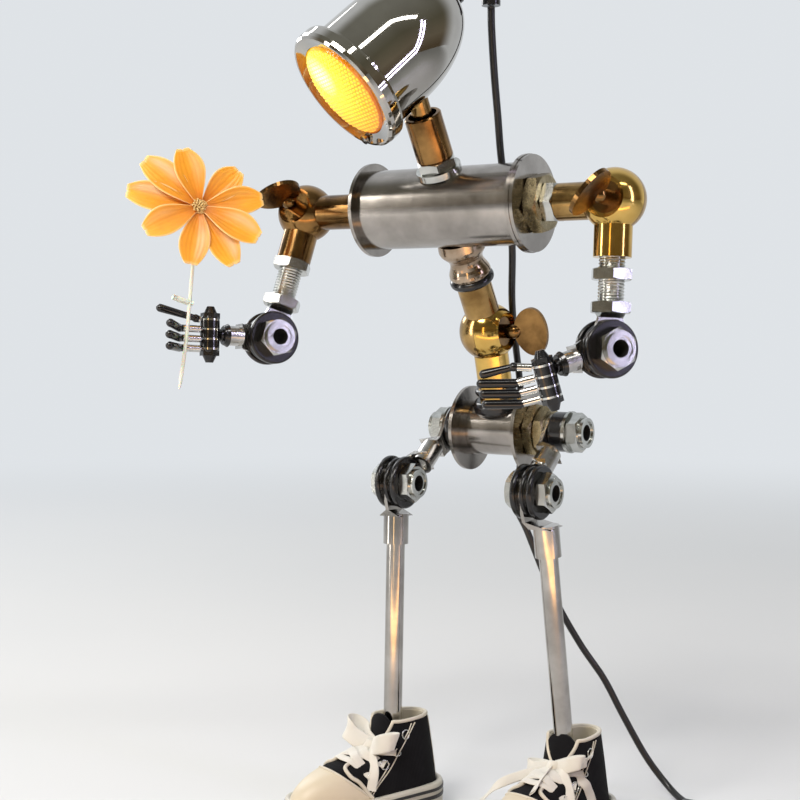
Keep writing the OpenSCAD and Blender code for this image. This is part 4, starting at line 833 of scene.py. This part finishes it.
def make_eye():
    """The flower's middle: small stalks set in a spiral on a button."""
    parts = []
    rng = np.random.default_rng(5)
    for i in range(EYE_STALKS):
        r, a = EYE_R * math.sqrt((i + 0.5) / EYE_STALKS), i * EYE_STEP
        twist = float(rng.uniform(0, 90))
        place = FLOWER @ shift(r * math.cos(a), r * math.sin(a), 0.8) @ turn("y", 14 * r) @ turn("z", twist)
        h = STALK_H - 0.25 * r + rng.uniform(-0.3, 0.3)
        stalk = [(0.001, -0.6), (0.32, -0.6), (0.3, h * 0.7), (0.5, h * 0.85), (0.36, h), (0.001, h + 0.1)]
        parts.append(revolve(stalk, place, 8))
    button = [(0.001, -3.4), (1.7, -3.2), (3.0, -0.8), (3.1, 0.6), (2.4, 1.1), (0.001, 1.3)]
    parts.append(revolve(button, FLOWER, 24))
    look = plastic("flower_eye", (0.72, 0.5, 0.2), 0.6, 0.04, 1400, tone=0.35)
    new_piece("flower_eye", parts, look, "right_forearm")


def make_stalk():
    """The stem, slightly wavy and tapered at its foot, with the short bar of its clip."""
    t = np.linspace(0, 1, 60)
    line = np.stack([0.5 * np.sin(np.pi * t * 1.3), 0.35 * np.sin(np.pi * t * 2),
                     -STEM_DOWN + (STEM_UP + STEM_DOWN) * t], 1)
    sizes = np.interp(t, [0, 0.03, 0.08, 1], [0.35, 0.9, 1, 0.85])
    stem = sweep(line, ring_outline(STEM_D / 2, 12), up=(0, 1, 0), scale=sizes)
    way = np.array([(0, 1.6, 12.2), (0.1, -1.5, 12.4), (0.3, -4.6, 12.9), (0.5, -7.4, 13.5)])
    bar = sweep(way, ring_outline(1.25, 10), up=(1, 0, 0), scale=[0.8, 1, 1, 0.85])
    look = plastic("flower_stem", (0.72, 0.78, 0.68), 0.3, 0.02, 400, 0.2, 0.08).set(through=0.3)
    look.shader.inputs["Subsurface Scale"].default_value = 0.002
    parts = [(at(STEM, p), f) for p, f in (stem, bar)]
    new_piece("flower_stalk", parts, look, "right_forearm", "flower_stem")


make_petals()
make_eye()
make_stalk()

# ---------------- sneakers
SHOE_LEN, SHOE_W, HEEL_W, SOLE_H, COLLAR_H = 75, 31, 27, 10, 41
ROD_TO_HEEL, INSOLE_Z, FLOOR_Z = 24, SOLE_H - 1.5, SOLE_H + 0.5
TOE_Y = ROD_TO_HEEL - SHOE_LEN
ROD_DROP = KNEE_Z - FLOOR_Z - 2
KNEE_Y = joint_point("left_knee_bend")[1]
LUG_END, LEAN_OUT, LEAN_BACK, LEAN_RIGHT = 14.2, 3, 5, 2
BARREL_X = {"left": 7, "right": 1}
TOE_TURN = {"left": -8, "right": -20}
OUT, BACK, AHEAD = (math.tan(math.radians(lean)) for lean in (LEAN_OUT, LEAN_BACK, LEAN_RIGHT))
SHOES = {
    "left": shift(STAND[0, 3] + KNEE_X + SHIN_PALM_X + BARREL_X["left"] + (ROD_DROP - LUG_END) * OUT,
                  KNEE_Y + ROD_DROP * BACK, 0) @ turn("z", TOE_TURN["left"]),
    "right": shift(STAND[0, 3] - KNEE_X + SHIN_PALM_X + BARREL_X["right"], KNEE_Y - ROD_DROP * AHEAD, 0)
    @ turn("z", TOE_TURN["right"])}
CLOTH_T, LINING_T, UPPER_LOW, LINED_FROM, CREASE = 0.9, 0.65, 0.03, 0.62, 0.09
CAP_LEAN, CAP_FOOT, CAP_BACK, CAP_T = 1.2, 13.4, -20, 0.7
TOE_REACH, INSTEP, SPREAD, CURVE_X, CURVE_FRONT, CURVE_BACK = 50, 0.62, 1.6, 0.9, 0.85, 0.9


def front_reach(v):
    """How far the upper reaches ahead of the shin at height v: a straight leg above the instep, and
    below it a superellipse that runs out to the toe."""
    leg = 12.6 - 5.3 * v
    return leg + (TOE_REACH - leg) * np.maximum(0, 1 - (v / INSTEP) ** 2.8) ** 0.75


def back_reach(v):
    return 21.6 - 3.2 * v - 1.2 * v * v


def half_width(v):
    return 12.9 - 3.7 * v


def upper_at(a, v, out=0.0):
    """The canvas at angle a round the shoe and height v from sole, 0, to collar, 1: two half
    superellipses, one for the toe and one for the heel, grown by out."""
    a, v = np.broadcast_arrays(np.asarray(a, float), np.asarray(v, float))
    front = np.sin(a) < 0
    reach = np.where(front, front_reach(v), back_reach(v)) + out
    half = half_width(v) + np.where(front, SPREAD * (1 - v) * np.abs(np.sin(a)) ** 0.6, 0) + out
    y = reach * np.sign(np.sin(a)) * np.abs(np.sin(a)) ** np.where(front, CURVE_FRONT, CURVE_BACK)
    x = half * np.sign(np.cos(a)) * np.abs(np.cos(a)) ** CURVE_X
    return np.stack([x, y, INSOLE_Z + v * (COLLAR_H - INSOLE_Z)], -1)


def off_upper(a, v, out):
    """A point out millimetres off the canvas, square to it."""
    e = 1e-3
    n = np.cross(upper_at(a + e, v) - upper_at(a - e, v), upper_at(a, v + e) - upper_at(a, v - e))
    return upper_at(a, v) + unit(n) * np.broadcast_to(out, n.shape[:-1])[..., None]


def collar_top(a):
    """The height of the collar's edge, as a share of the upper: it drops in a V to the knot."""
    from_front = np.abs((np.degrees(a) - 90) % 360 - 180)
    return 1 - 0.36 * np.maximum(0, 1 - from_front / 52) ** 0.8


def ridge(y):
    """The height at which the middle of the upper's front reaches y."""
    v = np.linspace(0, 1.1, 500)
    return np.interp(y, -front_reach(v), v)


def over(x, y, out=0.0):
    """The point out millimetres off the upper's top at x and y, found by a few rounds of trial."""
    x, y = np.broadcast_arrays(np.asarray(x, float), np.asarray(y, float))
    v = ridge(y)
    for _ in range(12):
        c = np.clip(np.abs(x) / (half_width(v) + SPREAD * (1 - v)), 0, 0.97) ** (1 / CURVE_X)
        v = ridge(y / (1 - c * c) ** (CURVE_FRONT / 2))
    return off_upper(1.5 * np.pi + np.sign(x) * np.arcsin(c), v, out)


def side_at(y, z, side, out=0.0):
    """A point out millimetres off the upper's side at y and height z; side is +1 or -1."""
    y, z = np.broadcast_arrays(np.asarray(y, float), np.asarray(z, float))
    v = (z - INSOLE_Z) / (COLLAR_H - INSOLE_Z)
    reach = np.where(y < 0, front_reach(v), back_reach(v))
    power = np.where(y < 0, CURVE_FRONT, CURVE_BACK)
    s = np.clip(np.abs(y) / reach, 0, 1) ** (1 / power) * np.sign(y)
    a = np.arcsin(s) if side > 0 else np.pi - np.arcsin(s)
    return off_upper(a % (2 * np.pi), v, out)


def arc(half, grow, middle, deep, start, end):
    """Points on part of an ellipse half wide and deep long about a point of the shoe's middle line."""
    t = np.radians(np.arange(start, end + 1, 7.5))
    return np.stack([(half + grow) * np.cos(t), middle + (deep + grow) * np.sin(t)], 1)


def sole_line(grow, count=200):
    """The sole's outline: half an ellipse at the toe, a smaller one at the heel, straight between;
    sampled at equal steps, from the middle of the heel round the robot's right side."""
    heel = arc(HEEL_W / 2, grow, ROD_TO_HEEL - HEEL_W / 2, HEEL_W / 2, 90, 180)
    toe = arc(SHOE_W / 2, grow, TOE_Y + SHOE_W * 0.58, SHOE_W * 0.58, 180, 270)
    waist = np.array([[-SHOE_W / 2 * 0.9 - grow, -6], [-SHOE_W / 2 - grow, TOE_Y + SHOE_W * 0.66]])
    half = np.concatenate([heel, waist, toe])
    line = np.concatenate([half, (half[::-1] * [-1, 1])[1:]])
    d = np.concatenate([[0], np.cumsum(np.linalg.norm(np.diff(line, axis=0), axis=1))])
    want = np.linspace(0, d[-1], count, endpoint=False)
    return np.stack([np.interp(want, d, line[:, k]) for k in range(2)], 1)


def canvas_look():
    """Black canvas: a fine plain weave from two crossed waves on the piece's coordinates."""
    look = Look("shoe_canvas")
    waves = [look.node("TexWave", {"Vector": look.coord, "Scale": 620.0, "Distortion": 0.6},
                       bands_direction=d).outputs["Fac"] for d in ("Z", "X")]
    return look.set(color=look.mix(look.noise(90, 4, 0.6), (0.004, 0.004, 0.005), (0.012, 0.012, 0.014)),
                    rough=0.85, sheen=0.03, ior=1.15,
                    normal=look.bump(look.math("MULTIPLY", *waves), 0.12, 0.6))


canvas = canvas_look()
cream = plastic("toe_rubber", (0.56, 0.49, 0.37), 0.42, 0.03, 500, tone=0.08)
white_rubber = plastic("sole_rubber", (0.52, 0.5, 0.44), 0.5, 0.05, 420, tone=0.1)
stripe = plastic("sole_stripe", (0.012, 0.012, 0.014), 0.4, 0.02, 600)
lining = plastic("shoe_lining", (0.6, 0.55, 0.44), 0.85, 0.06, 900, tone=0.2, sheen=0.3)
thread_white = plastic("stitching", (0.56, 0.52, 0.44), 0.7, 0.04, 2400, tone=0.15)
lace = plastic("shoe_lace", (0.6, 0.58, 0.53), 0.8, 0.16, 1300, tone=0.1, sheen=0.4)
eyelet = metal("eyelet", (0.6, 0.6, 0.58), (0.8, 0.8, 0.78), 0.3, 200, 0.4)


def on_shoe(word, name, parts, look, stands_for=None, smooth=True):
    """Puts closed parts drawn in a shoe's frame on that shoe as one piece."""
    parts = [(at(SHOES[word], p), f) for p, f in parts]
    new_piece(f"{word}_{name}", parts, look, f"{word}_shin", stands_for, smooth)


def shell(outer, inner):
    """A closed shell from an outer and an inner grid that are closed round their columns."""
    rows, cols = outer.shape[:2]
    pts = np.concatenate([outer, inner[::-1]]).reshape(-1, 3)
    return pts, grid_faces(2 * rows, cols, wrap_rows=True, wrap_cols=True)


def ribbon(points, width, thick, up, count=40, spin=None):
    """A flat lace along a smooth curve; its width lies along up."""
    path = smooth_path(points, count)
    w = None if spin is None else np.interp(np.linspace(0, 1, count), np.linspace(0, 1, len(spin)), spin)
    return sweep(path, flat_outline(width, thick)[:, ::-1], up=up, spin=w)


UPRIGHT = (0.02, 0.03, 1)


def stitched(curve):
    """A row of thread along points: a round thread whose thickness pulses at every stitch."""
    pulse = 0.24 + 0.06 * np.abs(np.sin(np.linspace(0, 40 * np.pi, 160)))
    return sweep(smooth_path(curve, len(pulse)), ring_outline(1.0, 6), up=UPRIGHT, scale=pulse)


WALL, TRAY_Z, BUMPER_LOW, BUMPER_TOP, BAND_END, RIB_PITCH, MIDDLE_Y = 12.8, 8.4, 0.9, 8.9, 47, 1.3, -10
# on both sides of the shoe, as y and z: the eyelets and the seam from the collar down to the sole
EYELETS = [(-18.6, 21), (-11.8, 25), (-5.2, 28.5), (0, 35.5)]
SEAM = [(3.5, 39.5), (0.5, 35.5), (-5, 29), (-11.5, 22.5), (-17.5, 17), (-21.5, 12.8)]
# the piping that edges the quarters: up from the sole, as y and z, then round the throat, as x and y
PIPING_SIDE = [(-19, 12.8), (-21.5, 16), (-24.5, 20)]
PIPING_TOP = [(9.5, -27.4), (6.6, -28.2), (4.8, -26.6), (4.4, -22), (4.6, -17), (5, -12.5)]
TONGUE_LOW, TONGUE_TOP, TONGUE_HALF, TONGUE_ROUND, TONGUE_T = 27, 43, 6.6, 5.5, 1.3
# a bow's loop, as shares of how far out, how deep and how high it reaches
LOOP = [(0.3, -0.45, 0.25), (0.7, -0.75, 0.7), (0.98, -0.35, 1), (1, 0.25, 1), (0.7, 0.42, 0.75),
        (0.3, 0.1, 0.3)]
# each loop: its side, its reach outwards, its depth, its height and the ribbon's width
BOWS = {"right": [(1, 15.5, 6, 5, 7.5), (-1, 14, 6, 6.5, 7.5)],
        "left": [(1, 13, 3.5, 4.5, 5.5), (-1, 12, 4, -1, 4.6)]}
TWIST = [0, 12, 20, 8, -6, -14, -6, 0]
KNOT = np.array([0, -10.6, 30.4])
LACE_W, LACE_T, ALONG_SHOE = 3.8, 0.7, (0, 0.97, 0.25)


def spring(points):
    """Lifts the sole by up to two millimetres towards the toe."""
    points = np.array(points, float)
    t = np.clip((-points[..., 1] - 26) / 25, 0, 1)
    points[..., 2] += 2 * t * t
    return points


def make_upper(word):
    """The canvas boot, its lining and the white binding of its collar."""
    a = circle(144)
    top = collar_top(a)
    v = np.linspace(UPPER_LOW, 1, 84)[:, None] * top
    crease = np.sin(9 * v + 2 * np.sin(a)) * np.exp(-((v - 0.5) / 0.35) ** 2) * np.cos(a) ** 2
    outer, inner = upper_at(a, v), upper_at(a, v, -CLOTH_T)
    outer[..., 0] += CREASE * crease * np.sign(np.cos(a))
    inner[..., 2] = np.maximum(inner[..., 2], FLOOR_Z - 0.3)
    on_shoe(word, "canvas", [shell(outer, inner)], canvas, f"{word}_shoe_upper")
    v = np.linspace(LINED_FROM, 0.995, 30)[:, None] * top
    lined = shell(upper_at(a, v, 0.05 - CLOTH_T), upper_at(a, v, 0.05 - CLOTH_T - LINING_T))
    on_shoe(word, "lining", [lined], lining)
    binding = sweep(upper_at(a, top, -0.4), ring_outline(0.8, 8), closed=True)
    on_shoe(word, "collar_binding", [binding], thread_white)


def make_toe_cap(word):
    """A thin rubber shell over the toe, cut off where it meets a plane that leans back towards
    the sole, y + lean (z - foot) = back, and a white line along that edge."""
    a = np.radians(np.linspace(187, 353, 110))
    v = np.linspace(UPPER_LOW, 1, 200)
    points = upper_at(a[:, None], v)
    slant = points[..., 1] + CAP_LEAN * (points[..., 2] - CAP_FOOT)
    top = np.array([np.interp(CAP_BACK, row, v, left=UPPER_LOW) for row in slant])
    a, top = a[top > UPPER_LOW + 0.005], top[top > UPPER_LOW + 0.005]
    rows = np.linspace(0, 1, 40)[:, None]
    v = UPPER_LOW + (top - UPPER_LOW) * rows
    cap = patch(off_upper(a, v, CAP_T - 0.3 * rows ** 6), off_upper(a, v, -0.3))
    on_shoe(word, "toe_cap", [cap], cream)
    edge = sweep(off_upper(a, top, 0.3), ring_outline(0.55, 8))
    on_shoe(word, "toe_edge", [edge], thread_white)


def sole_ring(grow, z, count=200):
    """The sole's outline at a height, as points."""
    return np.column_stack([sole_line(grow, count), np.full(count, z)])


def make_sole(word):
    """The sole: a rounded slab, closed at a small ring in its middle, with two stripes."""
    profile = [(-2.5, 0.0), (-0.9, 0.0), (-0.25, 0.35), (0, 1.0), (0.05, 4), (0, WALL - 1),
               (-0.3, WALL - 0.3), (-0.9, WALL), (-2.3, WALL), (-2.3, TRAY_Z), (-8, TRAY_Z)]
    low, high = (sole_ring(0, 0) * 0.001 + [0, MIDDLE_Y, z] for z in (0, TRAY_Z))
    body = spring([low] + [sole_ring(g, z) for g, z in profile] + [high])
    rows, cols = body.shape[:2]
    faces = grid_faces(rows, cols, wrap_cols=True)
    faces += [list(range(cols))[::-1], [(rows - 1) * cols + k for k in range(cols)]]
    slab = [(body.reshape(-1, 3), faces)]
    on_shoe(word, "rubber_sole", slab, white_rubber, f"{word}_shoe_sole")

    line = sole_ring(0.05, 0, 400)
    reach = int(BAND_END / np.linalg.norm(line[1] - line[0]))

    def band(z, height, span, closed):
        box = [(0.14, -height / 2), (0.14, height / 2), (-0.3, height / 2), (-0.3, -height / 2)]
        return sweep(spring(line[span] + [0, 0, z]), box, closed=closed)

    bands = [band(WALL - 2.6, 1.2, range(len(line)), True),
             band(WALL - 5.6, 1.5, range(-reach, reach + 1), False)]
    on_shoe(word, "sole_stripes", bands, stripe, smooth=False)
    make_bumper(word, 4 * reach)


def make_bumper(word, start):
    """The toe's bumper: small ribs, sin(step) sin(height), on the sole's wall between its stripes' ends."""
    line = sole_ring(0.0, 0, 1600)[start:1601 - start]
    z = np.linspace(BUMPER_LOW, BUMPER_TOP, 34)
    steps = np.arange(len(line))
    rows = np.abs(np.sin(np.pi * (z - BUMPER_LOW) / RIB_PITCH))
    ribs = 0.45 + 0.16 * np.abs(np.sin(np.pi * steps[:, None] / 5.0)) * rows
    ribs *= np.minimum(1, np.minimum(steps, steps[::-1])[:, None] / 10) ** 0.5
    normal = unit(np.cross(np.gradient(line, axis=0), [0, 0, 1]))
    middle = len(line) // 2
    normal *= np.sign(np.dot(normal[middle], line[middle] - [0, MIDDLE_Y, 0]))
    tall = line[:, None] + z[:, None] * [0, 0, 1]
    face = spring(tall + normal[:, None] * ribs[..., None])
    on_shoe(word, "toe_bumper", [patch(face, spring(tall - 0.3 * normal[:, None]))], cream)


def make_trimmings(word):
    """The piping of the quarters, the stitching and the eyelets."""
    stitches, rings = [], []
    for sgn in (-1, 1):
        (y, z), (x, back) = np.transpose(PIPING_SIDE), np.transpose(PIPING_TOP)
        piping = np.concatenate([side_at(y, z, sgn, 0.25), over(sgn * x, back, 0.25)])
        stitches.append(sweep(smooth_path(piping, 90), ring_outline(0.85, 8), up=UPRIGHT))
        y, z = np.transpose(SEAM)
        for gap in (0, 1.7):
            wave = 0.3 * np.sin(2.1 * np.arange(len(SEAM)) + gap)
            stitches.append(stitched(side_at(y + gap + wave, z, sgn, 0.12)))
        v = (np.linspace(WALL, 39.5, 12) - INSOLE_Z) / (COLLAR_H - INSOLE_Z)
        stitches.append(stitched(off_upper(np.pi / 2 + sgn * 0.3, v, 0.12)))
        for y, z in EYELETS:
            centre = side_at(y, z, sgn, 0.3)
            rings.append(torus(centre, side_at(y, z, sgn, 1.3) - centre, 1.9, 0.45))
    on_shoe(word, "stitching", stitches, thread_white)
    on_shoe(word, "eyelets", rings, eyelet)


def make_tongue(word):
    """A shield that stands before the shin, its top a half round, curved a little about the shin."""
    z, x = np.meshgrid(np.linspace(TONGUE_LOW, TONGUE_TOP - 0.05, 40), np.linspace(-1, 1, 21), indexing="ij")
    round_from = TONGUE_TOP - TONGUE_ROUND
    half = np.interp(z, [TONGUE_LOW, 33, round_from], [3.2, 5.2, TONGUE_HALF])
    x = x * half * np.sqrt(1 - (np.maximum(z - round_from, 0) / TONGUE_ROUND) ** 2)
    y = -9.9 + 3.4 * (z - TONGUE_LOW) / (TONGUE_TOP - TONGUE_LOW) + 0.035 * x * x
    face = np.stack([x, y, z], -1)
    on_shoe(word, "tongue", [patch(face, face + [0, TONGUE_T, 0.2])], canvas)


def down_side(sgn, *spots):
    """Points of a lace that hangs down one side of the upper."""
    return [side_at(y, z, sgn, 1.1) for y, z in spots]


def lace_ends(word):
    """Each end of a lace, from the knot over the throat and down a side or away from the shoe."""
    near, off = KNOT + [1.5, -1.8, -0.4], KNOT + [-1.5, -1.8, -0.4]
    if word == "right":
        return [[near, over(6, -15, 1.6)] + down_side(1, (-17.5, 23.5), (-20, 16)),
                [off, over(-6, -15, 1.6)] + down_side(-1, (-16, 23), (-17, 17))]
    return [[off, KNOT + [-8, -8, -2.5], KNOT + [-15, -16, -6], KNOT + [-20, -22, -12.5]],
            [off + [1, 0, 0.3], over(1, -18, 2), over(2.5, -25, 1.6), over(4, -31, 1.4)],
            [near, over(6.5, -14, 2)] + down_side(1, (-17, 22), (-19, 15.5)),
            [near + [0.5, 0.5, 0.2]] + down_side(1, (-8, 26), (-4.5, 21), (-2.5, 15.5)),
            [near + [0, 0.8, 0.6]] + down_side(1, (-5, 32.5), (0, 35.5))]


def make_laces(word):
    """Ribbons across the throat from eyelet to eyelet, the knot, the bow's loops and its ends."""
    first = [side_at(-19, 21.5, -1, 0.5), over(-5.5, -23.6, 0.9), over(0, -24.4, 1.1), over(5.5, -23.6, 0.9),
             side_at(-19, 21.5, 1, 0.5)]
    strips = [ribbon(first, 3.6, LACE_T, ALONG_SHOE)]
    for k, middle in ((0, -19.6), (1, -14.6)):
        for sgn, lift in ((-1, 1.2), (1, 1.6)):
            crossing = [side_at(*EYELETS[k], sgn, 0.5), over(5 * sgn, middle - 2, lift),
                        over(0, middle, lift + 0.3), over(-5 * sgn, middle + 2, lift),
                        side_at(*EYELETS[k + 1], -sgn, 0.5)]
            strips.append(ribbon(crossing, LACE_W, LACE_T, ALONG_SHOE))
    around = [(-2.4, 1.6, -0.6), (-2.6, -0.7, 0.3), (-0.2, -2.4, 0.9), (2.5, -0.8, 0.4), (2.3, 1.5, -0.6)]
    strips.append(ribbon(KNOT + around, 4.8, 1.2, (0.15, 0.5, 0.85), 24))
    for sgn, far, deep, high, wide in BOWS[word]:
        far_part = [(sgn * far * i, deep * j, high * k) for i, j, k in LOOP]
        loop = [(0.5 * sgn, -0.4, 0), *far_part, (0.3 * sgn, 0.3, 0)]
        strips.append(ribbon(KNOT + loop, wide, 0.8, (0.25 * sgn, 0.35, 0.9), 70, TWIST))
    strips += [ribbon(end, 4.0, LACE_T, (0.25, 0.7, 0.6), 36) for end in lace_ends(word)]
    on_shoe(word, "laces", strips, lace)


for word in SIDES:
    for make in (make_upper, make_toe_cap, make_sole, make_trimmings, make_tongue, make_laces):
        make(word)
